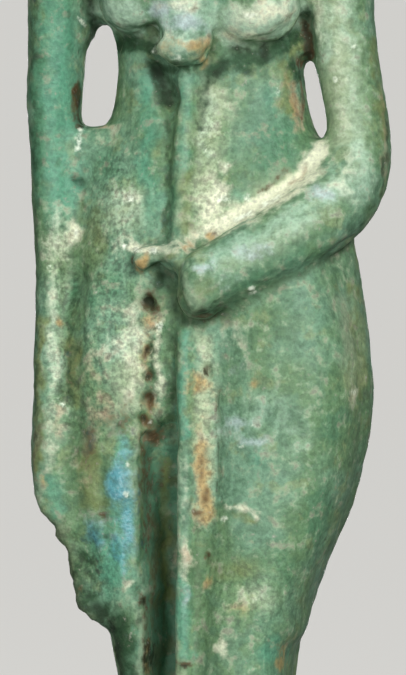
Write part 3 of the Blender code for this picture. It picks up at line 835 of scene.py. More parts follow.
def bell(distance, width):
    """1 at no distance and about a third at the width: e to the power of minus its square."""
    return np.exp(-((distance / width) ** 2))


def mark(u, v, places, width):
    """1 on a spot, or along a line of straight stretches, falling off as a bell over its width. A
    spot's width may be a pair, across and down. All are in pixels of the frame."""
    if len(places) == 1:
        wide, high = width if isinstance(width, tuple) else (width, width)
        (u0, v0) = places[0]
        return np.exp(-(((u - u0) / wide) ** 2) - ((v - v0) / high) ** 2)
    nearest = np.full(len(u), np.inf)
    for (u0, v0), (u1, v1) in zip(places, places[1:]):
        du, dv = u1 - u0, v1 - v0
        t = np.clip(((u - u0) * du + (v - v0) * dv) / (du * du + dv * dv), 0, 1)
        nearest = np.minimum(nearest, np.hypot(u - u0 - t * du, v - v0 - t * dv))
    return bell(nearest, width)


DRIFT_COARSE = 0.17
DRIFT_FINE = 0.065


def drift(points, seed):
    """Two noises per direction, coarse and fine, by which the edge of a mark wanders."""
    coarse = [cloud(points, DRIFT_COARSE, seed + i) for i in (0, 2)]
    fine = [cloud(points, DRIFT_FINE, seed + i) for i in (1, 3)]
    return [a + b / 2 for a, b in zip(coarse, fine)]


# How far the edges of the relief wander, in pixels, and the seed of that
RELIEF_WANDER = 2.5
RELIEF_SEED = 41
# How far a face has to look at the camera before relief shows on it, and rows of the frame past
# its edges up to which relief is carried on
RELIEF_FACING = (0.0, 0.35)
RELIEF_ROWS = (-30, 700)
# Relief on the front: place in the frame, width in pixels and height in squares
RELIEF = {
    "line between arm and side": (((84, 132), (82, 180), (79, 230), (76, 275)), 9, -0.035),
    "valley between arm and hip": (((76, 280), (74, 340), (73, 400), (72, 455)), 11, -0.07),
    "hollow beside the hip": (((88, 400), (90, 460)), 12, -0.04),
    "ridge of the arm": (((58, 215), (54, 280), (53, 380), (50, 480)), 9, 0.035),
    "left of the stem": (((163, 84), (168, 120), (167, 180), (165, 240)), 7, -0.03),
    "right of the stem": (((206, 80), (201, 120), (198, 180)), 8, -0.03),
    "under the flower": (((154, 68), (160, 84), (168, 100)), 9, -0.12),
    "neck of the flower": (((176, 70), (200, 69)), 6, -0.03),
    "left lobe of the flower": (((155, 54),), (8, 8), 0.09),
    "notch of the flower": (((150, 38),), (6, 7), -0.07),
    "shelf of the forearm": (((315, 204), (279, 224), (246, 238), (209, 249)), 6, -0.015),
    "edge above the forearm": (((300, 176), (262, 201), (230, 218)), 5, -0.03),
    "under the forearm": (((345, 248), (303, 274), (256, 291), (228, 305), (200, 322)), 9, -0.05),
    "crease of the fist": (((157, 270), (166, 280), (172, 292), (176, 304), (180, 322)), 9, -0.07),
    "hollow below the thumb": (((162, 280),), (10, 12), -0.06),
    "deep pit": (((149, 302),), (7, 6), -0.16),
    "knob": (((142, 261),), (8, 9), 0.07),
    "shade by the ridge": (((170, 335), (170, 430)), 7, -0.04),
    "pit column 1": (((149, 350),), (4, 5), -0.10),
    "pit column 2": (((148, 375),), (4, 6), -0.10),
    "pit column 3": (((150, 400),), (6, 7), -0.12),
    "pit column 4": (((145, 420),), (5, 6), -0.08),
    "pit column 5": (((148, 437),), (7, 7), -0.12),
    "channel of the pits": (((148, 335), (149, 440)), 8, -0.04),
    "line on the thigh": (((218, 390), (218, 440), (217, 492)), 2.5, -0.02),
    "pit by the ridge": (((207, 371),), (3.5, 6), -0.08),
    "under her right breast": (((104, 38), (126, 42), (150, 42)), 8, -0.05),
    "under her left breast": (((212, 60), (240, 55), (268, 47), (296, 28)), 9, -0.05),
    "in her left armpit": (((304, 24), (304, 40), (306, 60)), 7, -0.08),
    "in her right armpit": (((90, 0), (92, 12), (97, 26)), 6, -0.07),
    "pit on the arm": (((78, 182),), (6, 4), -0.05),
    "chip under the elbow": (((352, 178),), (18, 14), 0.02),
    "worn flower": (((190, 50),), (16, 9), 0.03),
    "wear on the flower": (((170, 22),), (10, 16), -0.03),
    "wear beside it": (((205, 20),), (8, 18), -0.02),
    "grain of white glaze": (((251, 291),), (4, 4), 0.05),
    "scratch on the thigh": (((226, 502), (242, 506), (258, 511)), 3, 0.015),
    "pit in the slot's lip": (((140, 592),), (6, 8), -0.08),
    "pit low on the thigh": (((206, 556),), (3, 4), -0.04),
    "dent low on the thigh": (((230, 580),), (20, 12), -0.03),
    "lump on the thigh": (((221, 642),), (8, 7), 0.02),
    "edge of the blue glaze": (((100, 470), (104, 520), (112, 560)), 6, -0.03),
    "swell of the blue glaze": (((122, 485),), (13, 26), 0.04),
    "hollow of the break": (((84, 545), (88, 590)), 12, -0.06),
}


def carve_front(points, normals):
    """Height of the marks on her front at each point, in squares along its normal."""
    u, v = seen_from_camera(points)
    shown = step_up(faces_camera(normals), *RELIEF_FACING)
    shown = shown * (v > RELIEF_ROWS[0]) * (v < RELIEF_ROWS[1])
    across, down = drift(points, RELIEF_SEED)
    u, v = u + RELIEF_WANDER * across, v + RELIEF_WANDER * down
    height = np.zeros(len(points))
    for places, width, amount in RELIEF.values():
        height += amount * mark(u, v, places, width)
    return height * shown


def faces_camera(normals):
    """1 where a face looks straight at the camera, 0 from the side and -1 behind."""
    return normals @ np.array([math.sin(VIEW_TURN), -math.cos(VIEW_TURN), 0.0])


# Marks of the head, in squares: across from its middle line, up from the soles
EYE = (0.38, 17.50)
EYE_HALF = (0.19, 0.085)
EYE_SLANT = 0.10
EYE_REACH = 0.75
EYE_RIM = 0.28
EYE_DEPTH = 0.035
MOUTH_UP = 16.85
MOUTH_SLANT = 0.10
MOUTH_REACH = 0.42
MOUTH_WIDTH = 0.035
MOUTH_DEPTH = 0.045
CLEFT_ENDS = (16.84, 17.14)
CLEFT_WIDTH = 0.035
CLEFT_DEPTH = 0.05
NOSTRIL = (0.09, 17.20)
NOSTRIL_HALF = (0.04, 0.035)
NOSTRIL_DEPTH = 0.04
WHISKER_ROWS = (17.08, 17.00, 16.93)
WHISKERS_IN_ROW = 4
WHISKER_FIRST = 0.22
WHISKER_STEP = 0.055
WHISKER_SHIFT = 0.02
WHISKER_RADIUS = 0.016
WHISKER_DEPTH = 0.02
RUFF_INNER = (0.76, 0.84)
RUFF_OUTER = (1.02, 1.10)
RUFF_TOP = 18.0
RUFF_RAYS = 64
RUFF_DEPTH = 0.018
EAR_FOOT = 17.9
EAR_FACING = (0.2, 0.6)
EAR_DEPTH = 0.13
WIG_EDGE = (0.80, 1.0)
WIG_FLARE = 0.9
WIG_FLARE_FROM = 0.2
WIG_ENDS = (14.9, 18.3)
WIG_DEPTHS = (-0.62, 1.0)
WIG_AXIS = 0.1
WIG_LOCKS = 70
WIG_DEPTH = 0.012
LAPPET_SIDES = (0.40, 1.22)
LAPPET_ENDS = (14.14, 16.6)
LAPPET_LOCK = 0.085
LAPPET_DEPTH = 0.014
# How far a face of the head has to look forwards before a mark shows on it
FACING_FORWARDS = (0.05, 0.4)
# The hindmost y, in squares, at which each mark of the head shows
HINDMOST = {
    "eye": -0.7, "mouth": -1.0, "cleft": -1.25, "nostril": -1.4, "whiskers": -1.1, "ruff": -0.45,
    "ear": -0.2, "lappet": -0.78,
}


def grooves(phase):
    """A cosine from 0 to 1: one groove for each full turn of the phase."""
    return 0.5 + 0.5 * np.cos(phase)


def between(values, ends):
    """1 for values that lie between two ends, and 0 for the rest."""
    return (values > ends[0]) * (values < ends[1])


def carve_head(points, normals):
    """Eyes, mouth, nostrils, ruff, ears' hollows and the locks of the wig. A groove is a bell across
    its line, a pit a bell in both directions, and rays and locks are a cosine."""
    x, y, z = points.T
    side = abs(x)
    lift = np.zeros(len(points))
    ahead = {name: y < depth for name, depth in HINDMOST.items()}
    front = step_up(-normals[:, 1], *FACING_FORWARDS)
    # Rims of the eyes: an almond ring round each eye, drawn out to the side
    across = (side - EYE[0]) / EYE_HALF[0]
    up = (z - EYE[1] - EYE_SLANT * (side - EYE[0])) / EYE_HALF[1]
    rim = bell(np.hypot(across, up) - 1.0, EYE_RIM)
    lift -= EYE_DEPTH * rim * (ahead["eye"] & (side < EYE_REACH)) * front
    # The mouth, the cleft below the nose and the nostrils
    mouth = bell(z - MOUTH_UP - MOUTH_SLANT * side, MOUTH_WIDTH)
    lift -= MOUTH_DEPTH * mouth * ahead["mouth"] * (side < MOUTH_REACH)
    cleft = bell(side, CLEFT_WIDTH) * ahead["cleft"] * between(z, CLEFT_ENDS)
    across = (side - NOSTRIL[0]) / NOSTRIL_HALF[0]
    up = (z - NOSTRIL[1]) / NOSTRIL_HALF[1]
    nostril = np.exp(-(across**2 + up**2)) * ahead["nostril"]
    lift -= CLEFT_DEPTH * cleft + NOSTRIL_DEPTH * nostril
    # Whisker pits in three rows on each lip pad
    for row, height in enumerate(WHISKER_ROWS):
        for step in range(WHISKERS_IN_ROW):
            place = WHISKER_FIRST + WHISKER_STEP * step + WHISKER_SHIFT * row
            across = (side - place) / WHISKER_RADIUS
            up = (z - height) / WHISKER_RADIUS
            lift -= WHISKER_DEPTH * np.exp(-(across**2 + up**2)) * ahead["whiskers"]
    # Rays of the ruff, round the face
    radius = np.hypot(x, z - RUFF_CENTRE[2])
    turn = np.arctan2(x, z - RUFF_CENTRE[2])
    band = step_up(radius, *RUFF_INNER) * (1 - step_up(radius, *RUFF_OUTER))
    band *= ahead["ruff"] * (z < RUFF_TOP) * front
    lift -= RUFF_DEPTH * band * grooves(turn * RUFF_RAYS)
    # Hollows of the ears
    (ex, _, ez), (rx, _, rz) = EAR_HOLLOW
    bowl = np.exp(-((((side - ex) / rx) ** 2 + ((z - ez) / rz) ** 2) ** 1.5))
    lift -= EAR_DEPTH * bowl * step_up(-normals[:, 1], *EAR_FACING) * ahead["ear"] * (z > EAR_FOOT)
    # Locks of the wig: shallow upright lines, worn away on the crown
    wig = step_up(side + WIG_FLARE * np.clip(y + WIG_FLARE_FROM, 0, 1), *WIG_EDGE)
    wig *= between(z, WIG_ENDS) * between(y, WIG_DEPTHS)
    angle = np.arctan2(y - WIG_AXIS, x)
    lift -= WIG_DEPTH * wig * grooves(angle * WIG_LOCKS)
    lappet = between(side, LAPPET_SIDES) * between(z, LAPPET_ENDS) * ahead["lappet"]
    lift -= LAPPET_DEPTH * lappet * front * grooves(side * 2 * math.pi / LAPPET_LOCK)
    return lift


# Noises of the surface, in squares: height, size and seed
PASTE_NOISE = ((0.020, 0.9, 1), (0.012, 0.34, 2))
GLAZE_NOISE = ((0.006, 0.13, 3), (0.0045, 0.065, 4))
BREAK_NOISE = ((0.06, 0.24, 7), (0.035, 0.10, 8))
# Burst bubbles: depth, size of a cell, share of the cells that hold one, and seed
WIDE_BUBBLES = (0.030, 0.26, 0.16, 6)
FINE_BUBBLES = (0.018, 0.15, 0.14, 12)
# Where the glaze is worn enough for the wide ones: size and seed of a noise, and its range
WORN_NOISE = (0.7, 5)
WORN_RANGE = (-0.2, 0.5)


def weathered(points):
    """Unevenness of hand-finished paste, the grain of worn glaze and the pits of burst bubbles, in
    squares."""
    lift = uneven(0.0, points, PASTE_NOISE)
    lift += uneven(0.0, points, GLAZE_NOISE)
    worn = step_up(cloud(points, *WORN_NOISE), *WORN_RANGE)
    wide_depth, *wide = WIDE_BUBBLES
    fine_depth, *fine = FINE_BUBBLES
    lift -= wide_depth * bubbles(points, *wide) * worn + fine_depth * bubbles(points, *fine)
    return lift


# The break at her right hand: which corners of its outline it takes in, how far its roughness
# reaches from them, and the heights and the depth over which that fades
BREAK_CORNERS = slice(3, 13)
BREAK_REACH = 0.26
BREAK_FOOT = (6.4, 6.8)
BREAK_TOP = (7.8, 8.25)
BREAK_BACK = 0.55
BREAK_FADE = 0.6
# How ragged its edge is: sizes and seeds of two noises, and how far they shift x, y and z
RAGGED_NOISE = (0.30, 9)
RAGGED_UP_NOISE = (0.22, 10)
RAGGED = (0.05, 0.16, 0.14)


def broken_paste(points):
    """1 on the rough surface that the break left at her right hand."""
    x, y, z = points.T
    edge = np.array(BROKEN_EDGE[BREAK_CORNERS])
    outline = np.interp(z, edge[::-1, 1], edge[::-1, 0])
    ragged = cloud(points, *RAGGED_NOISE)
    x = x + RAGGED[0] * ragged
    y = y + RAGGED[1] * ragged
    z = z + RAGGED[2] * cloud(points, *RAGGED_UP_NOISE)
    near = bell(x - outline, BREAK_REACH) * step_up(z, *BREAK_FOOT) * (1 - step_up(z, *BREAK_TOP))
    return near * step_up(BREAK_BACK - y, 0.0, BREAK_FADE)


# Height above the ground, in millimetres, over which relief fades in, so that she stands flat
STANDING_FADE = (0.1, 0.6)


def carve(mesh):
    """All relief, as a move of each point along its normal."""
    points, normals = in_squares(points_of(mesh)), normals_of(mesh)
    lift = carve_front(points, normals) + carve_head(points, normals) + weathered(points)
    rough = broken_paste(points)
    lift += rough * uneven(0.0, points, BREAK_NOISE)
    above_floor = (points[:, 2] * SQUARE + BASE_HEIGHT) / MM
    points += normals * (lift * step_up(above_floor, *STANDING_FADE))[:, None]
    set_points(mesh, placed(points))


def skin():
    """The whole figure as one fine skin."""
    body = one_skin(soft_forms(), BODY_GRAIN, BODY_ROUNDS)
    body = one_skin(joined("body", [body, held_forms()]), HELD_GRAIN, HELD_ROUNDS)
    cut_slot(body)
    forms = [body, crisp_forms(), *plinth_forms()]
    mesh = one_skin(joined("figure", forms), FINE_GRAIN, FINE_ROUNDS)
    carve(mesh)
    return mesh


# How far a face has to look at the camera, and rows past the frame, up to which the skin stays fine
FINE_FACING = 0.05
FINE_ROWS = 10


def thinned(mesh):
    """The skin with fewer triangles wherever the camera's crop doesn't come near."""
    points, normals = in_squares(points_of(mesh)), normals_of(mesh)
    v = seen_from_camera(points)[1]
    in_frame = (v > -FINE_ROWS) & (v < FRAME_HIGH + FINE_ROWS)
    kept = in_frame & (faces_camera(normals) > FINE_FACING)
    obj = bpy.data.objects.new("working", mesh)
    bpy.context.scene.collection.objects.link(obj)
    group = obj.vertex_groups.new(name="plain")
    group.add(np.nonzero(~kept)[0].tolist(), 1.0, "REPLACE")
    mesh.calc_loop_triangles()
    corners = np.empty(len(mesh.loop_triangles) * 3, np.int32)
    mesh.loop_triangles.foreach_get("vertices", corners)
    fine = int(kept[corners.reshape(-1, 3)].all(axis=1).sum())
    modifier = obj.modifiers.new("thin", "DECIMATE")
    modifier.ratio = (fine + PLAIN_TRIANGLES) / len(mesh.loop_triangles)
    modifier.vertex_group = "plain"
    graph = bpy.context.evaluated_depsgraph_get()
    made = bpy.data.meshes.new_from_object(obj.evaluated_get(graph))
    bpy.data.objects.remove(obj)
    return made


# How far the edge of each kind of stain, painted light and painted shade wanders, in pixels of the
# frame
WANDER = {
    "aqua": 6, "green": 6, "pale_glaze_and_painted_sheen": 6, "olive": 6, "pale": 6, "shade": 4, "lavender": 5, "cream": 4,
    "pink": 4, "ochre": 3, "rust": 2.5, "blue": 4, "dark": 2.5, "white": 1.5, "grainy": 6,
}
# Colour on the front, by kind, stains and painted light and shade alike: place in the frame, width in
# pixels and strength
STAINS_AND_PAINTED_LIGHT = {
    "aqua": {
        "upper arm": (((56, 10), (58, 100), (60, 195)), 24, 1.0),
        "beside the stem": (((148, 80), (150, 150), (150, 215)), 14, 0.7),
        "stem": (((186, 80), (185, 130), (182, 170)), 9, 0.6),
        "flower": (((186, 14),), (36, 20), 0.6),
        "forearm": (((330, 195), (290, 222), (240, 246), (200, 262)), 10, 0.5),
        "ridge": (((184, 335), (185, 430)), 7, 0.9),
        "low ridge": (((184, 585), (186, 650)), 9, 0.9),
        "waist": (((270, 100),), (12, 20), 0.5),
        "above the band": (((240, 198),), (14, 10), 0.7),
        "hand": (((56, 495),), (12, 26), 0.7),
        "above the blue": (((126, 440), (120, 460)), 8, 0.8),
        "below the blue": (((114, 560),), (22, 34), 1.1),
        "round the blue": (((112, 520),), (24, 20), 0.7),
        "shin": (((134, 640),), (6, 20), 0.4),
        "low thigh": (((270, 650),), (26, 24), 0.7),
        "under the lavender": (((255, 455),), (14, 12), 0.5),
        "near her thigh": (((215, 345),), (8, 14), 0.4),
    },
    # green: a deeper glaze tone, and on the side of the arm, the forearm's lower side, the valley and
    # beside the hip a painted shade
    "green": {
        "belly": (((274, 150),), (30, 36), 1.2),
        "side by the stem": (((108, 165),), (14, 34), 0.6),
        "thigh": (((318, 520),), (24, 56), 0.55),
        "hip": (((330, 430),), (26, 40), 0.4),
        "forearm's lower side": (((330, 244), (270, 274), (225, 294)), 7, 0.5),
        "side of the arm": (((38, 60), (36, 180)), 9, 0.8),
        "top of the arm": (((58, 14),), (22, 46), 0.55),
        "left of the pits": (((112, 285),), (12, 12), 0.9),
        "middle thigh": (((262, 570),), (40, 34), 0.6),
        "right breast's fold": (((152, 32),), (6, 8), 0.5),
        "thigh's upper left": (((244, 320),), (30, 16), 0.5),
        "shin": (((136, 560),), (6, 40), 0.6),
        "valley": (((72, 290),), (6, 14), 0.8),
        "beside the hip": (((95, 300),), (8, 14), 0.6),
        "stem": (((172, 190), (172, 240)), 8, 0.6),
        "spot on the arm": (((58, 164),), (4, 4), 1.3),
    },
    # olive: olive glaze, and along the edges of the arms, hip, thigh and shin, in the groove, the
    # armpit and under the fist a painted shade
    "olive": {
        "right breast": (((112, 10),), (20, 10), 0.4),
        "edge of the arm": (((376, 40), (381, 140)), 7, 0.9),
        "stem": (((188, 180), (186, 235)), 9, 0.7),
        "side": (((96, 230),), (16, 40), 0.7),
        "hip edge": (((358, 290), (360, 400)), 8, 0.7),
        "over the fist": (((172, 258),), (14, 7), 0.9),
        "thigh": (((236, 565),), (34, 16), 0.7),
        "hem of the hip": (((335, 520), (308, 600)), 10, 0.5),
        "rim of the arm": (((40, 320), (38, 470)), 5, 0.9),
        "groove": (((74, 340), (74, 400)), 9, 0.9),
        "left of the blue": (((90, 450), (92, 500)), 12, 0.9),
        "belly's right rim": (((284, 66), (288, 110)), 8, 0.9),
        "fist's lower side": (((205, 290),), (12, 12), 0.8),
        "armpit": (((294, 50),), (8, 12), 1.3),
        "break": (((82, 570),), (16, 20), 0.6),
        "cheek of the slot": (((166, 462), (165, 600)), 6, 0.9),
        "shin edge": (((296, 640),), (5, 18), 1.0),
        "upper arm": (((44, 20),), (6, 16), 0.6),
        "line on the thigh": (((232, 509), (256, 516)), 5, 0.7),
    },
    # pale: painted light on the lit fronts of the flower, breasts, arms, elbow, belly and thigh
    "pale": {
        "flower": (((184, 14),), (38, 20), 1.15),
        "right breast": (((122, 16),), (28, 18), 1.0),
        "left breast": (((232, 30), (266, 26), (290, 12)), 20, 1.25),
        "upper arm by the breast": (((322, 10), (324, 60)), 10, 0.6),
        "forearm": (((345, 180), (312, 208), (272, 232), (232, 252), (200, 266)), 14, 0.75),
        "elbow": (((358, 150), (360, 190)), 16, 0.7),
        "front of the upper arm": (((345, 0), (350, 80), (354, 140)), 16, 0.5),
        "thigh": (((224, 430), (270, 400), (300, 440)), 18, 0.45),
        "belly": (((210, 100), (206, 160)), 12, 0.6),
        "belly left": (((130, 205),), (24, 26), 0.5),
        "ridge of the arm": (((54, 290), (54, 380)), 8, 0.5),
        "left of the pits": (((120, 350),), (16, 20), 0.6),
        "low thigh": (((262, 590),), (24, 14), 0.3),
        "above the hand": (((60, 230),), (18, 26), 0.6),
        "umbel right": (((214, 22),), (8, 16), 0.9),
        "umbel's lower edge": (((180, 46),), (28, 14), 1.2),
        "left breast low": (((230, 40), (268, 34)), 9, 1.0),
        "right breast low": (((112, 30), (140, 28)), 8, 0.7),
        "below the knob": (((146, 330), (134, 345)), 10, 0.6),
    },
    # a pale glaze on the strip and beside the pits, and on the lit fronts of upper arm, elbow, belly,
    # breast, forearm and hip a painted sheen
    "pale_glaze_and_painted_sheen": {
        "upper arm": (((330, 4), (338, 80), (346, 140)), 26, 0.62),
        "elbow": (((352, 170), (330, 200)), 22, 0.4),
        "belly": (((214, 96), (208, 150), (206, 200)), 19, 0.68),
        "above the band": (((290, 182), (240, 210), (206, 226)), 15, 0.7),
        "left breast": (((232, 26), (262, 22), (288, 12)), 18, 0.8),
        "hand": (((58, 240), (56, 330), (56, 440)), 14, 0.35),
        "strip": (((204, 340), (205, 430), (204, 510)), 12, 0.7),
        "left of the pits": (((132, 330), (126, 400)), 20, 0.55),
        "side": (((126, 210),), (26, 30), 0.6),
        "hip": (((344, 300), (352, 380)), 12, 0.5),
        "low thigh": (((256, 592),), (28, 16), 0.5),
        "forearm": (((300, 220), (230, 262)), 16, 0.4),
    },
    "shade": {
        "under her left breast": (((216, 70), (246, 62), (276, 55), (294, 40)), 11, 1.0),
        "under her right breast": (((104, 44), (128, 46), (150, 48)), 10, 1.2),
        "under the flower": (((154, 68), (163, 82), (168, 100)), 12, 0.85),
        "below the flower": (((164, 70), (186, 70)), 7, 0.7),
        "left of the stem": (((169, 110), (168, 170), (166, 236)), 5, 0.55),
        "right of the stem": (((210, 78), (203, 100), (199, 130)), 6, 0.65),
        "left of the fist": (((160, 284),), (10, 14), 0.8),
        "rim of the fist": (((178, 268), (179, 300), (186, 322)), 5, 0.6),
        "under the wrist": (((212, 312),), (22, 8), 0.7),
        "shade by the ridge": (((170, 335), (170, 435)), 7, 0.5),
        "groove by the arm": (((76, 275), (74, 340), (72, 400)), 7, 0.6),
        "break": (((82, 556), (86, 590), (100, 612)), 15, 0.9),
        "shin": (((122, 620), (126, 675)), 14, 1.0),
        "left edge": (((33, 0), (35, 220), (36, 400), (35, 490)), 5, 0.55),
        "right edge of the hip": (((364, 270), (368, 350), (366, 420), (357, 480)), 6, 0.4),
        "right edge of the thigh": (((346, 520), (328, 570), (312, 610)), 7, 0.5),
        "right edge of the arm": (((384, 60), (386, 150), (379, 200)), 3, 0.6),
        "above the opening": (((306, 14), (306, 60)), 8, 0.8),
        "wall of the opening": (((79, 84), (79, 126)), 4, 0.9),
        "left of the blue": (((84, 440), (92, 470)), 8, 0.4),
        "between hand and pool": (((82, 400), (88, 450)), 6, 0.5),
        "top of the slot": (((160, 425),), (14, 10), 0.8),
        "arm's inner edge": (((70, 0), (68, 80)), 4, 0.4),
        "elbow's lower side": (((374, 205), (348, 234)), 5, 0.6),
        "lip of the slot": (((139, 470), (139, 620)), 3, 0.5),
        "top of the slot's floor": (((162, 436),), (14, 12), 0.4),
        "above the belly rim": (((290, 64), (296, 80)), 6, 0.8),
    },
    # lavender: a painted bluish highlight on the forearm, fist, elbow and flower, and lavender-grey
    # glaze on the thigh and ridge
    "lavender": {
        "forearm middle": (((252, 254),), (22, 8), 0.8),
        "fist": (((200, 270),), (14, 9), 0.8),
        "near the elbow": (((322, 196),), (20, 10), 0.8),
        "thigh upper": (((238, 422),), (15, 9), 0.8),
        "thigh lower": (((252, 438),), (18, 8), 0.8),
        "flower": (((162, 14),), (14, 10), 1.0),
        "flower's middle": (((186, 26),), (22, 10), 1.0),
        "ridge": (((187, 600),), (6, 16), 0.6),
        "forearm lower": (((226, 282),), (12, 8), 0.4),
        "over the band": (((214, 262),), (10, 6), 0.5),
        "thigh": (((232, 366),), (14, 8), 0.4),
    },
    # cream: pale worn glaze, and along the top of the forearm and on the breasts, flower, elbow and
    # upper arm also a painted highlight on upward faces
    "cream": {
        "between the pits": (((143, 362), (142, 388)), 6, 0.6),
        "top of the forearm": (
            ((320, 152), (304, 177), (280, 195), (258, 207), (235, 218), (214, 229)), 9.5, 1.5,
        ),
        "inner side of the band": (((262, 206), (232, 220)), 11, 1.1),
        "over the wrist": (((214, 234), (190, 243), (168, 250)), 8, 0.8),
        "belly by the band": (((220, 192), (208, 216)), 12, 0.9),
        "round the knob": (((130, 247), (146, 249), (158, 250)), 6, 1.2),
        "beside the pits": (((158, 325), (157, 400)), 5, 0.8),
        "left of the pits": (((134, 315), (132, 400)), 10, 0.6),
        "spots by the pits": (((118, 345),), (16, 16), 0.5),
        "patch on the arm": (((58, 236),), (20, 28), 0.6),
        "right of the patch": (((76, 232),), (6, 14), 1.0),
        "ridge of the arm": (((54, 275), (53, 340), (55, 420), (52, 470)), 8, 0.42),
        "strip by the ridge": (((200, 340), (203, 430), (197, 510)), 10, 0.3),
        "line on the thigh": (((226, 502), (238, 505), (248, 506), (258, 511)), 3.4, 0.75),
        "below the left opening": (((318, 142), (318, 160)), 6, 0.9),
        "rim of the right opening": (((92, 130), (112, 130)), 4, 0.5),
        "front of the upper arm": (((334, 0), (340, 80), (348, 150)), 12, 0.3),
        "inner side of the upper arm": (((312, 2), (318, 40)), 10, 0.55),
        "elbow": (((346, 160), (338, 190)), 12, 0.5),
        "belly": (((218, 96), (210, 150), (208, 190)), 14, 0.35),
        "belly spots": (((225, 170),), (7, 6), 0.7),
        "side": (((132, 200),), (10, 10), 0.6),
        "side low": (((120, 245),), (18, 12), 0.5),
        "left breast": (((246, 20), (284, 14)), 12, 0.8),
        "left breast low": (((224, 34), (256, 38)), 8, 0.7),
        "flower": (((184, 8),), (24, 10), 0.7),
        "flower's lower edge": (((176, 42),), (22, 8), 0.6),
        "hip": (((352, 395),), (6, 12), 0.6),
        "low spot": (((222, 642),), (9, 8), 1.0),
        "low ridge": (((184, 548), (187, 575)), 7, 0.7),
        "by the slot": (((132, 582),), (5, 6), 0.7),
        "line of the ridge": (((183, 440), (184, 490), (182, 520)), 5, 0.4),
        "under the arm": (((330, 264),), (18, 6), 0.3),
        "thigh specks": (((236, 335),), (30, 16), 0.4),
        "hand": (((62, 430),), (8, 26), 0.25),
        "low thigh": (((250, 588),), (16, 8), 0.4),
    },
    "pink": {
        "below the pit": (((150, 322),), (12, 10), 0.9),
        "left of the pits": (((104, 410),), (20, 26), 0.7),
        "left of the pits low": (((88, 440), (84, 480)), 9, 0.5),
        "side of the thigh": (((96, 370),), (14, 22), 0.5),
        "beside the ridge": (((164, 302),), (7, 10), 0.5),
        "rim of the opening": (((102, 128),), (9, 4), 0.9),
        "rim of the arm": (((36, 420), (36, 480)), 4, 0.6),
        "ridge": (((184, 556),), (7, 9), 0.7),
        "side of the opening": (((300, 84), (302, 130)), 4, 0.7),
        "upper arm edge": (((382, 90), (384, 180)), 4, 0.5),
        "hip": (((350, 398),), (6, 6), 0.6),
        "belly rim": (((292, 84), (296, 130)), 6, 0.7),
        "band": (((306, 170), (290, 186)), 4, 0.5),
        "flower": (((204, 42),), (8, 6), 0.9),
        "left breast": (((262, 12),), (9, 8), 0.4),
        "arm's ridge": (((58, 410), (60, 440)), 5, 0.7),
        "wrist": (((200, 240), (180, 248)), 5, 0.6),
        "shin": (((148, 540),), (5, 8), 0.7),
        "low": (((146, 656),), (4, 10), 0.7),
        "slot": (((160, 548),), (5, 5), 0.6),
    },
    "ochre": {
        "knob of the flower": (((196, 49),), (13, 9), 1.35),
        "top of the knob": (((177, 45),), (12, 5), 0.9),
        "left of the knob": (((171, 49),), (14, 9), 0.85),
        "tail of the knob": (((203, 62),), (4, 8), 0.8),
        "tip of the thumb": (((143, 264),), (8, 9), 1.2),
        "wrist": (((211, 237),), (5, 5), 1.1),
        "over the wrist": (((196, 243), (172, 250)), 5, 0.5),
        "strip upper": (((199, 384),), (12, 13), 0.9),
        "strip lower": (((200, 448), (203, 480), (205, 512)), 9, 0.95),
        "strip middle": (((200, 420),), (7, 20), 0.4),
        "below the strip": (((208, 576),), (5, 9), 0.6),
        "pits": (((147, 335), (148, 380), (148, 430)), 8, 0.45),
        "by pit 3": (((153, 402),), (8, 8), 0.7),
        "pit mouth": (((147, 320),), (8, 8), 0.6),
        "slot's lip": (((140, 588),), (4, 5), 0.6),
        "foot of the slot": (((148, 640), (148, 672)), 3, 0.7),
        "low thigh": (((281, 654),), (7, 13), 0.9),
        "arm": (((60, 325),), (6, 8), 0.9),
        "thigh": (((256, 382),), (9, 7), 0.7),
        "edge of the right opening": (((77, 84), (76, 110)), 4, 0.6),
        "belly rim": (((289, 78), (292, 120)), 6, 0.4),
        "arm's spots": (((46, 480),), (4, 7), 0.6),
        "hip": (((352, 430),), (5, 10), 0.4),
        "low thigh spots": (((240, 605),), (12, 7), 0.4),
    },
    "rust": {
        "deep pit": (((149, 296), (146, 303), (154, 307)), 7, 1.1),
        "pit column 1": (((149, 350),), (4, 7), 1.2),
        "pit column 2": (((148, 375),), (5, 8), 1.1),
        "pit column 3": (((150, 399),), (7, 11), 1.3),
        "pit column 4": (((145, 420),), (6, 8), 1.1),
        "pit column 5": (((150, 437),), (10, 8), 1.3),
        "column": (((148, 340), (149, 440)), 5, 0.3),
        "above the slot": (((142, 418), (150, 428), (160, 430)), 7, 0.6),
        "top of the slot": (((158, 432),), (12, 8), 0.8),
        "wall of the slot": (((145, 444), (148, 545)), 8, 0.75),
        "wall low": (((146, 600), (146, 665)), 5, 0.7),
        "pit by the ridge": (((207, 371),), (4, 7), 1.2),
        "strip": (((202, 462),), (3, 6), 0.85),
        "strip low": (((206, 488), (203, 500)), 4, 0.8),
        "strip's dots": (((207, 446), (199, 478)), 3, 0.5),
        "strip end": (((199, 512),), (7, 4), 0.9),
        "upper edge of the band": (((286, 172), (270, 186), (258, 194)), 3.5, 0.85),
        "line by the strip": (((216, 395), (217, 440)), 2, 0.5),
        "wall of the opening": (((76, 84), (77, 126)), 4, 0.9),
        "armpit": (((305, 28), (308, 56)), 6, 1.3),
        "armpit low": (((299, 64),), (6, 9), 0.9),
        "side of the opening": (((301, 76), (302, 120)), 3, 0.8),
        "belly's rim": (((291, 84), (294, 104), (297, 124)), 4, 0.45),
        "below the arm": (((206, 316),), (13, 6), 0.8),
        "side": (((92, 432),), (7, 12), 0.6),
        "hand": (((102, 514),), (8, 6), 0.95),
        "left of it": (((90, 450),), (6, 16), 0.5),
        "wrist": (((217, 234),), (3, 3), 0.8),
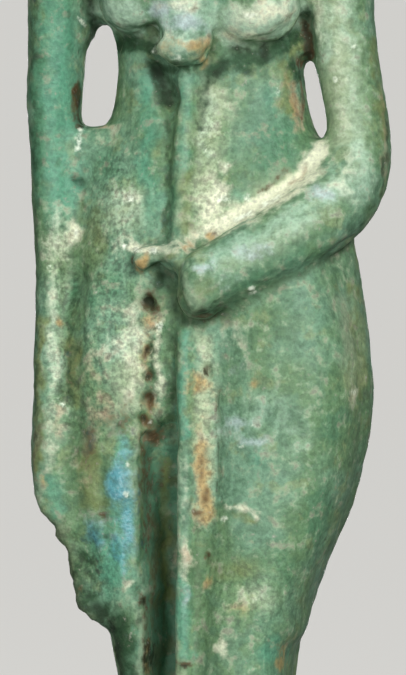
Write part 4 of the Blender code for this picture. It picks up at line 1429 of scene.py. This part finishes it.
        "low ridge": (((189, 562),), (4, 3), 0.9),
        "shin": (((143, 598),), (5, 9), 1.1),
        "low dot": (((185, 660),), (8, 4), 1.2),
        "thigh": (((207, 555),), (3, 5), 0.9),
        "knob's left side": (((134, 262),), (2.5, 8), 1.0),
        "groove": (((74, 345), (73, 385)), 6, 0.35),
        "break": (((78, 590),), (6, 6), 0.5),
        "cheek of the slot": (((160, 476),), (6, 22), 0.65),
        "flecks of the slot": (((156, 560), (152, 640)), 7, 0.6),
        "spots by the pits": (((128, 400), (122, 430)), 8, 0.55),
        "above the pool": (((108, 420),), (16, 10), 0.5),
    },
    "blue": {
        "pool": (((119, 483),), (16, 27), 0.95),
        "run": (((128, 500), (126, 530), (120, 560)), 11, 0.75),
        "side": (((94, 536),), (13, 15), 0.75),
        "top": (((128, 450),), (9, 14), 0.7),
    },
    # dark: painted shade under the flower, beside the stem, in the fist's crease, under the forearm,
    # wrist and breasts, in the armpits, the opening, the slot, under the break and on the hip's edge;
    # the pits and small dots are dark stains
    "dark": {
        "under the flower": (((157, 72), (164, 86), (168, 102)), 9, 0.95),
        "left of the stem": (((169, 105), (168, 150)), 4, 0.3),
        "right of the stem": (((210, 80), (205, 100)), 3, 0.4),
        "crease of the fist": (((158, 272), (166, 282), (173, 296), (180, 322)), 6, 0.55),
        "left of the fist": (((162, 280),), (8, 9), 0.8),
        "under the forearm": (((340, 250), (303, 273), (256, 291), (228, 304), (203, 320)), 4, 0.4),
        "under the wrist": (((208, 312),), (12, 5), 0.6),
        "deep pit": (((146, 300), (151, 304)), 5, 1.2),
        "pit 1": (((149, 350),), (3, 4), 1.1),
        "pit 2": (((147, 376),), (3, 4), 1.0),
        "pit 4": (((144, 419),), (3, 4), 0.9),
        "pit 3": (((151, 399),), (3, 5), 0.8),
        "pit by the ridge": (((207, 371),), (3, 5), 1.2),
        "pit on the arm": (((77, 182),), (8, 6), 0.9),
        "line on the thigh": (((218, 392), (218, 490)), 1.6, 0.6),
        "edge of her left breast": (((232, 50), (246, 52)), 6, 0.8),
        "edge of the breast by the arm": (((263, 47), (268, 60)), 6, 0.85),
        "below the breast": (((224, 66), (212, 82)), 7, 0.8),
        "under her right breast": (((108, 44), (128, 46), (150, 46)), 5, 0.6),
        "left armpit": (((305, 26), (306, 56)), 4, 1.0),
        "right armpit": (((91, 0), (93, 14), (98, 28)), 5, 0.9),
        "wall of the opening": (((81, 100), (80, 126)), 3, 0.9),
        "break": (((96, 606), (104, 616)), 8, 0.9),
        "under the break": (((114, 622), (117, 672)), 9, 0.8),
        "beside the ridge low": (((191, 505),), (2.5, 10), 0.8),
        "edge of the pool": (((107, 535),), (5, 4), 0.8),
        "slot": (((172, 450), (172, 560), (170, 675)), 5, 0.35),
        "slot's foot": (((150, 655),), (9, 18), 1.1),
        "hip edge": (((359, 470), (329, 600)), 5, 0.35),
        "notch of the flower": (((151, 38),), (5, 5), 0.6),
        "hand": (((118, 428), (106, 440)), 4, 0.6),
        "shin": (((143, 600),), (3, 6), 0.9),
        "low dot": (((184, 662),), (5, 2), 0.9),
    },
    "grainy": {
        "side": (((118, 180), (112, 300), (108, 420)), 30, 1.0),
        "pits": (((148, 320), (148, 440)), 18, 1.3),
        "hand": (((62, 240), (62, 420)), 18, 0.9),
        "belly": (((212, 120), (208, 210)), 20, 0.8),
        "strip": (((204, 350), (205, 520)), 14, 0.8),
        "break": (((90, 570),), (26, 40), 1.0),
        "low thigh": (((250, 590),), (40, 36), 0.8),
        "armpit": (((300, 40), (302, 110)), 10, 1.0),
    },
    # white: painted highlights and glints, except the grain of white glaze and the dot on the thigh
    "white": {
        "glint 1": (((128, 464),), (2.5, 3.5), 0.5),
        "glint 2": (((127, 494),), (2.5, 5), 1.0),
        "edge by the opening": (((80, 130), (79, 148)), 3.5, 0.75),
        "spots by the shoulder": (((80, 18), (86, 26)), 2.5, 1.0),
        "upper arm": (((352, 50),), (4.5, 4.5), 0.6),
        "upper arm low": (((336, 82),), (4.5, 4.5), 0.6),
        "grain by the thigh": (((251, 291),), (4.5, 4), 1.2),
        "thigh's dot": (((224, 516),), (4, 3), 0.9),
        "knob left": (((137, 250),), (5, 3), 1.0),
        "knob right": (((154, 252),), (5, 4), 1.2),
        "band 1": (((234, 221), (250, 215)), 3.5, 0.8),
        "band 2": (((278, 199), (262, 207)), 3.5, 0.7),
        "arm 1": (((76, 233),), (3, 5), 1.0),
        "arm 2": (((58, 240),), (4, 4), 0.4),
        "arm 3": (((50, 268),), (5, 5), 0.4),
        "ridge low": (((60, 400), (64, 408)), 3, 0.5),
        "side": (((130, 200),), (5, 5), 0.9),
        "side low": (((125, 246),), (5, 4), 0.7),
        "flower": (((182, 12),), (6, 5), 1.0),
        "flower low": (((178, 60),), (5, 4), 0.7),
        "flower's lobe": (((154, 52),), (5, 5), 0.5),
        "belly 1": (((205, 150),), (3, 5), 0.6),
        "belly 2": (((226, 168),), (3, 3), 0.6),
        "belly 3": (((246, 200),), (4, 4), 0.8),
        "belly low": (((224, 200),), (10, 5), 0.7),
        "side of the opening": (((277, 92),), (2.5, 3.5), 0.7),
        "below the pit": (((160, 326),), (4, 4), 0.9),
        "thigh": (((254, 424),), (6, 2), 0.4),
        "thigh 2": (((240, 446),), (7, 2), 0.6),
        "strip": (((212, 366),), (3, 3), 0.5),
        "hip": (((352, 392),), (3, 4), 0.6),
        "breast": (((250, 18),), (10, 3), 0.8),
    },
}

# Depth, in squares, over which the colours of the front give way to the plain glaze
FRONT_ENDS = (0.1, 0.8)
# How ragged that edge is: height, size and seed of a noise
FRONT_NOISE = ((0.25, 0.4, 61),)
# How far a face has to look at the camera before the colours of the front show on it
STAIN_AND_LIGHT_FACING = (0.08, 0.40)
STAIN_AND_LIGHT_SEED = 51
# Hollows over a short and a long reach: rounds of relaxing, the move that counts as full, weight
SHORT_HOLLOWS = (6, 0.03 * MM, 0.4)
LONG_HOLLOWS = (60, 0.16 * MM, 0.6)


def hollows(mesh):
    """How far each point lies in a hollow, from -1 on sharp edges to 1 in creases: its move along
    its normal when the skin is relaxed, over a short and a longer reach."""
    points, normals, ends = points_of(mesh), normals_of(mesh), edges_of(mesh)
    total = np.zeros(len(points))
    smooth = points
    for rounds, full, weight in (SHORT_HOLLOWS, LONG_HOLLOWS):
        smooth = relaxed(smooth, ends, rounds)
        total += weight * (((smooth - points) * normals).sum(axis=1) / full)
    return np.clip(total, -1, 1)


def relaxed(points, ends, rounds):
    """Each point moved halfway to the mean of its neighbours, round after round."""
    count = len(points)
    reach = np.bincount(ends.ravel(), minlength=count)[:, None]
    for _ in range(rounds):
        total = np.stack(
            [
                np.bincount(ends[:, 0], points[ends[:, 1], i], count)
                + np.bincount(ends[:, 1], points[ends[:, 0], i], count)
                for i in range(3)
            ],
            axis=-1,
        )
        points = (points + total / reach) / 2
    return points


def in_slot(points):
    """1 well inside the slot between her legs and 0 at its lips."""
    left, right, _ = slot_at(points)
    x, y, z = points.T
    within = step_up(x - left, *SLOT_SIDE_FADE) * step_up(right - x, *SLOT_SIDE_FADE)
    lip = np.interp(z, *zip(*SLOT_LIPS))
    painted = (z < SLOT_PAINT_TOP) * (y < SLOT_PAINT_BACK)
    return within * step_up(y - lip, *SLOT_DEPTH_FADE) * painted


def paint(mesh):
    """Writes the attributes that the glaze reads: hollows, sharp edges, the slot, the break, and the
    strongest mark of each kind at each point, stains and painted light and shade alike."""
    points, normals = in_squares(points_of(mesh)), normals_of(mesh)
    u, v = seen_from_camera(points)
    in_front = 1 - step_up(uneven(points[:, 1], points, FRONT_NOISE), *FRONT_ENDS)
    slot = in_slot(points)
    near_side = np.maximum(in_front, slot)
    shown = near_side * step_up(faces_camera(normals), *STAIN_AND_LIGHT_FACING)
    hollow = hollows(mesh)
    layers = {
        # how far each point lies in a hollow, darkened by the glaze as grime and painted shade
        "hollow": np.clip(hollow, 0, 1),
        "ridge": np.clip(-hollow, 0, 1),
        "slot": slot,
        "broken": broken_paste(points),
    }
    across, down = drift(points, STAIN_AND_LIGHT_SEED)
    for kind, stains_and_light in STAINS_AND_PAINTED_LIGHT.items():
        strongest = np.zeros(len(points))
        reach = WANDER[kind]
        for places, width, strength in stains_and_light.values():
            near = mark(u + reach * across, v + reach * down, places, width)
            strongest = np.maximum(strongest, strength * near)
        layers[kind] = shown * strongest
    for name, values in layers.items():
        attribute = mesh.attributes.new(name, "FLOAT", "POINT")
        attribute.data.foreach_set("value", values.astype(np.float32))


def add_node(tree, kind, inputs, **settings):
    """Adds a node with its settings, and sets or links its inputs, given by number or name."""
    node = tree.nodes.new("ShaderNode" + kind)
    for name, value in settings.items():
        setattr(node, name, value)
    for key, value in inputs.items():
        if isinstance(value, bpy.types.NodeSocket):
            tree.links.new(value, node.inputs[key])
        else:
            node.inputs[key].default_value = value
    return node


# Grains of the glaze: size in millimetres, detail and roughness of the noise. The real grit is
# quartz of about 0.1 mm, too fine to show, and is drawn at 0.24 mm.
GRAINS = {
    "broad": (6.5, 3.0, 0.55),
    "blotch": (2.1, 3.5, 0.60),
    "mottle": (0.95, 3.0, 0.58),
    "fleck": (0.48, 2.5, 0.60),
    "grit": (0.24, 1.5, 0.55),
}
# Coats from the first to the last: layer, grain and its weight, where the coat begins and is full,
# how much it covers, colour, and roughness
COATS = (
    (None, "broad", 1.0, 0.42, 0.60, 1.0, "#70977A", 0.54),
    (None, "blotch", 1.0, 0.50, 0.62, 0.6, "#5F8467", 0.54),
    (None, "blotch", -1.0, -0.44, -0.34, 0.5, "#8B9A6B", 0.58),
    (None, "mottle", 1.0, 0.52, 0.66, 0.45, "#9FBE9A", 0.54),
    (None, "mottle", -1.0, -0.48, -0.34, 0.50, "#476A4D", 0.54),
    ("ridge", "mottle", 2.0, 0.50, 1.10, 0.25, "#BCC5A6", 0.60),
    # darker in hollows and creases: grime, and painted shade where less light reaches
    ("hollow", "mottle", 2.0, 0.35, 1.10, 0.50, "#44593A", 0.70),
    ("broken", "mottle", 1.8, 0.20, 1.10, 0.70, "#5C664C", 0.80),
    ("slot", "mottle", 1.2, 0.15, 0.70, 0.90, "#56876A", 0.60),
    ("slot", "blotch", 2.4, 0.85, 1.35, 0.60, "#6B6A46", 0.65),
    # The coats below follow the marks of the front, so they carry painted light and painted shade as
    # well as stains and glaze tones
    ("aqua", "blotch", 1.3, 0.10, 0.95, 0.80, "#57977A", 0.48),
    ("green", "blotch", 1.3, 0.10, 1.00, 0.80, "#497D5B", 0.50),
    ("olive", "blotch", 1.5, 0.10, 1.05, 0.80, "#77834F", 0.58),
    # pale glaze, and a painted sheen on the lit fronts
    ("pale_glaze_and_painted_sheen", "blotch", 0.8, 0.05, 1.05, 0.80, "#BCC8A2", 0.52),
    ("pale", "mottle", 1.5, 0.10, 1.10, 0.80, "#AECDB3", 0.50),
    ("lavender", "mottle", 1.6, 0.15, 1.05, 0.75, "#B9C9CB", 0.40),
    ("cream", "mottle", 1.9, 0.10, 1.10, 0.92, "#DFE2C4", 0.62),
    ("pink", "mottle", 2.0, 0.15, 1.15, 0.75, "#BFA68A", 0.68),
    ("ochre", "mottle", 2.2, 0.15, 1.10, 0.80, "#B29158", 0.68),
    ("shade", "mottle", 2.2, 0.10, 1.00, 0.90, "#214427", 0.74),
    ("rust", "fleck", 2.4, 0.20, 1.10, 0.85, "#4E351E", 0.75),
    ("blue", "mottle", 1.5, 0.15, 1.05, 0.88, "#579CA8", 0.18),
    ("dark", "fleck", 2.0, 0.15, 1.10, 0.88, "#1B2A18", 0.75),
    ("white", "fleck", 1.8, 0.20, 1.05, 0.85, "#E4ECD8", 0.40),
)
FIRST_COLOUR = "#668860"
FIRST_ROUGHNESS = 0.56
# How far the two finest grains darken and lighten every coat
SPECKLE = {"fleck": (0.36, 0.64, 0.66, 1.34), "grit": (0.30, 0.70, 0.84, 1.16)}
# How much of that speckle the smooth glaze and the grainy places have
SMOOTH_SPECKLE = 0.45
GRAINY_SPECKLE = 1.0
GLAZE_IOR = 1.40
BUMP_HEIGHT = 0.05 * MM
BUMP_STRENGTH = 0.6


def faience_glaze():
    """Egyptian faience: ground quartz paste fired with a copper glaze, green-blue where it is
    fresh, pale and matt where burial has worn it, and stained brown in its pits. Its coats also
    carry painted shade, painted highlights and a painted sheen from the marks on the front."""
    material = bpy.data.materials.new("faience_glaze")
    material.use_nodes = True
    tree = material.node_tree
    surface = tree.nodes["Principled BSDF"]
    place = add_node(tree, "TexCoord", {}).outputs["Object"]
    grains = {}
    for name, (size, detail, roughness) in GRAINS.items():
        inputs = {"Vector": place, "Scale": 1 / (size * MM), "Detail": detail, "Roughness": roughness}
        grains[name] = add_node(tree, "TexNoise", inputs).outputs["Fac"]
    colour, roughness = hex_colour(FIRST_COLOUR), FIRST_ROUGHNESS
    for layer, grain, weight, begins, full, cover, shade, rough in COATS:
        amount = 0.0
        if layer:
            amount = add_node(tree, "Attribute", {}, attribute_name=layer).outputs["Fac"]
            begins, full = begins + weight / 2, full + weight / 2
        sum_inputs = {0: grains[grain], 1: weight, 2: amount}
        total = add_node(tree, "Math", sum_inputs, operation="MULTIPLY_ADD").outputs[0]
        range_inputs = {0: total, 1: begins, 2: full, 3: 0.0, 4: cover}
        spread = add_node(tree, "MapRange", range_inputs, interpolation_type="SMOOTHSTEP")
        share = spread.outputs[0]
        coat = add_node(tree, "Mix", {0: share, 6: colour, 7: hex_colour(shade)}, data_type="RGBA")
        colour = coat.outputs[2]
        roughness = add_node(tree, "Mix", {0: share, 2: roughness, 3: rough}).outputs[0]
    grainy = add_node(tree, "Attribute", {}, attribute_name="grainy").outputs["Fac"]
    range_inputs = {0: grainy, 3: SMOOTH_SPECKLE, 4: GRAINY_SPECKLE}
    speckled = add_node(tree, "MapRange", range_inputs).outputs[0]
    for grain, (low, high, darkest, lightest) in SPECKLE.items():
        range_inputs = {0: grains[grain], 1: low, 2: high, 3: darkest, 4: lightest}
        speckle = add_node(tree, "MapRange", range_inputs).outputs[0]
        inputs = {0: speckled, 6: colour, 7: speckle}
        colour = add_node(tree, "Mix", inputs, data_type="RGBA", blend_type="MULTIPLY").outputs[2]
    tree.links.new(colour, surface.inputs["Base Color"])
    tree.links.new(roughness, surface.inputs["Roughness"])
    surface.inputs["IOR"].default_value = GLAZE_IOR
    both = add_node(tree, "Math", {0: grains["fleck"], 1: grains["grit"]}, operation="ADD").outputs[0]
    inputs = {"Height": both, "Strength": BUMP_STRENGTH, "Distance": BUMP_HEIGHT}
    bump = add_node(tree, "Bump", inputs)
    tree.links.new(bump.outputs[0], surface.inputs["Normal"])
    return material


# The floor, in metres: two rings under her, where it bends up, by how much, and how high it ends
FLOOR_RINGS = (0.02, 0.5)
FLOOR_FLAT = 3.4
FLOOR_RISE = 1.6
FLOOR_TOP = 5.0
FLOOR_BEND_STEPS = 24
FLOOR_AROUND = 128
FLOOR_COLOUR = "#7F7E7B"
FLOOR_ROUGHNESS = 0.9
FLOOR_GLOW = "#D9D8D4"
FLOOR_GLOW_STRENGTH = 0.85


def pale_floor():
    """A matt paper floor that sweeps up far away: a profile of radius and height turned about z."""
    bend = np.linspace(0, math.pi / 2, FLOOR_BEND_STEPS)
    curve = FLOOR_FLAT + FLOOR_RISE * np.sin(bend)
    radius = np.concatenate([FLOOR_RINGS, curve, [FLOOR_FLAT + FLOOR_RISE]])
    height = np.concatenate([[0, 0], FLOOR_RISE * (1 - np.cos(bend)), [FLOOR_TOP]])
    turn = np.linspace(0, 2 * math.pi, FLOOR_AROUND, endpoint=False)
    x = radius[:, None] * np.cos(turn)
    y = radius[:, None] * np.sin(turn)
    rings = np.stack([x, y, height[:, None] + 0 * x], axis=-1)
    rows, columns, _ = rings.shape
    row, column = np.meshgrid(np.arange(rows - 1), np.arange(columns), indexing="ij")
    a = row * columns + column
    b = row * columns + (column + 1) % columns
    quads = np.stack([a, a + columns, b + columns, b], axis=-1).reshape(-1, 4)
    ring = np.arange(columns)
    centre = np.full(columns, rows * columns)
    middle = np.stack([ring, (ring + 1) % columns, centre, centre], axis=-1)
    points = np.vstack([rings.reshape(-1, 3), [(0, 0, 0)]])
    mesh = mesh_of("floor", points, np.vstack([quads, middle]))
    mesh.shade_smooth()
    floor = bpy.data.objects.new("floor", mesh)
    bpy.context.scene.collection.objects.link(floor)
    paper = bpy.data.materials.new("studio_paper")
    paper.use_nodes = True
    surface = paper.node_tree.nodes["Principled BSDF"]
    surface.inputs["Base Color"].default_value = hex_colour(FLOOR_COLOUR)
    surface.inputs["Roughness"].default_value = FLOOR_ROUGHNESS
    surface.inputs["Emission Color"].default_value = hex_colour(FLOOR_GLOW)
    surface.inputs["Emission Strength"].default_value = FLOOR_GLOW_STRENGTH
    mesh.materials.append(paper)
    floor.visible_diffuse = False
    floor.visible_glossy = False


def aim(obj, place, target):
    """Puts a lamp or camera at a place and turns it towards a target."""
    obj.location = place
    obj.rotation_mode = "QUATERNION"
    obj.rotation_quaternion = (Vector(target) - Vector(place)).to_track_quat("-Z", "Y")


# Nearest and farthest that the camera sees, in metres
CLIP = (0.01, 50)
WORLD_COLOUR = "#E4E5E6"
WORLD_STRENGTH = 0.20
# Soft lights: place, width in metres and power in watts
LIGHTS = {
    "key": ((0.40, -0.70, 0.38), 0.30, 5.6),
    "fill": ((-0.14, -0.92, 0.06), 0.50, 5.0),
    "top": ((0.05, 0.05, 0.85), 0.40, 1.6),
    "behind": ((-0.19, 0.88, 0.10), 0.34, 6.0),
}


def studio():
    """The camera at the photograph's place, and soft light from above and her right."""
    right = Vector((math.cos(VIEW_TURN), math.sin(VIEW_TURN), 0))
    back = Vector((math.sin(VIEW_TURN), -math.cos(VIEW_TURN), 0))
    middle_z = BASE_HEIGHT + (SOLE_V - FRAME_HIGH / 2) * PIXEL
    target = Vector((0, AXIS_Y, middle_z)) + right * (FRAME_WIDE / 2 - AXIS_U) * PIXEL
    data = bpy.data.cameras.new("camera")
    data.lens = data.sensor_width * CAMERA_DISTANCE / (FRAME_HIGH * PIXEL)
    data.clip_start, data.clip_end = CLIP
    camera = bpy.data.objects.new("camera", data)
    bpy.context.scene.collection.objects.link(camera)
    bpy.context.scene.camera = camera
    aim(camera, target + back * CAMERA_DISTANCE, target)
    for name, (place, size, power) in LIGHTS.items():
        light = bpy.data.lights.new(name, "AREA")
        light.shape = "DISK"
        light.size = size
        light.energy = power
        lamp = bpy.data.objects.new(name, light)
        lamp.visible_camera = False
        bpy.context.scene.collection.objects.link(lamp)
        aim(lamp, place, (0, 0, FIGURE_HEIGHT / 2))
    world = bpy.data.worlds.new("studio")
    bpy.context.scene.world = world
    world.use_nodes = True
    background = world.node_tree.nodes["Background"]
    background.inputs["Color"].default_value = hex_colour(WORLD_COLOUR)
    background.inputs["Strength"].default_value = WORLD_STRENGTH
    bpy.context.scene.view_settings.view_transform = "Standard"


def goddess():
    """The dressed figure, which stands for the solid one."""
    mesh = skin()
    paint(mesh)
    mesh = thinned(mesh)
    mesh.shade_smooth()
    mesh.materials.clear()
    mesh.materials.append(faience_glaze())
    piece = bpy.data.objects.new("moulded_goddess", mesh)
    bpy.context.scene.collection.objects.link(piece)
    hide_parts("goddess_figurine")
    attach(piece, "root")


goddess()
pale_floor()
studio()
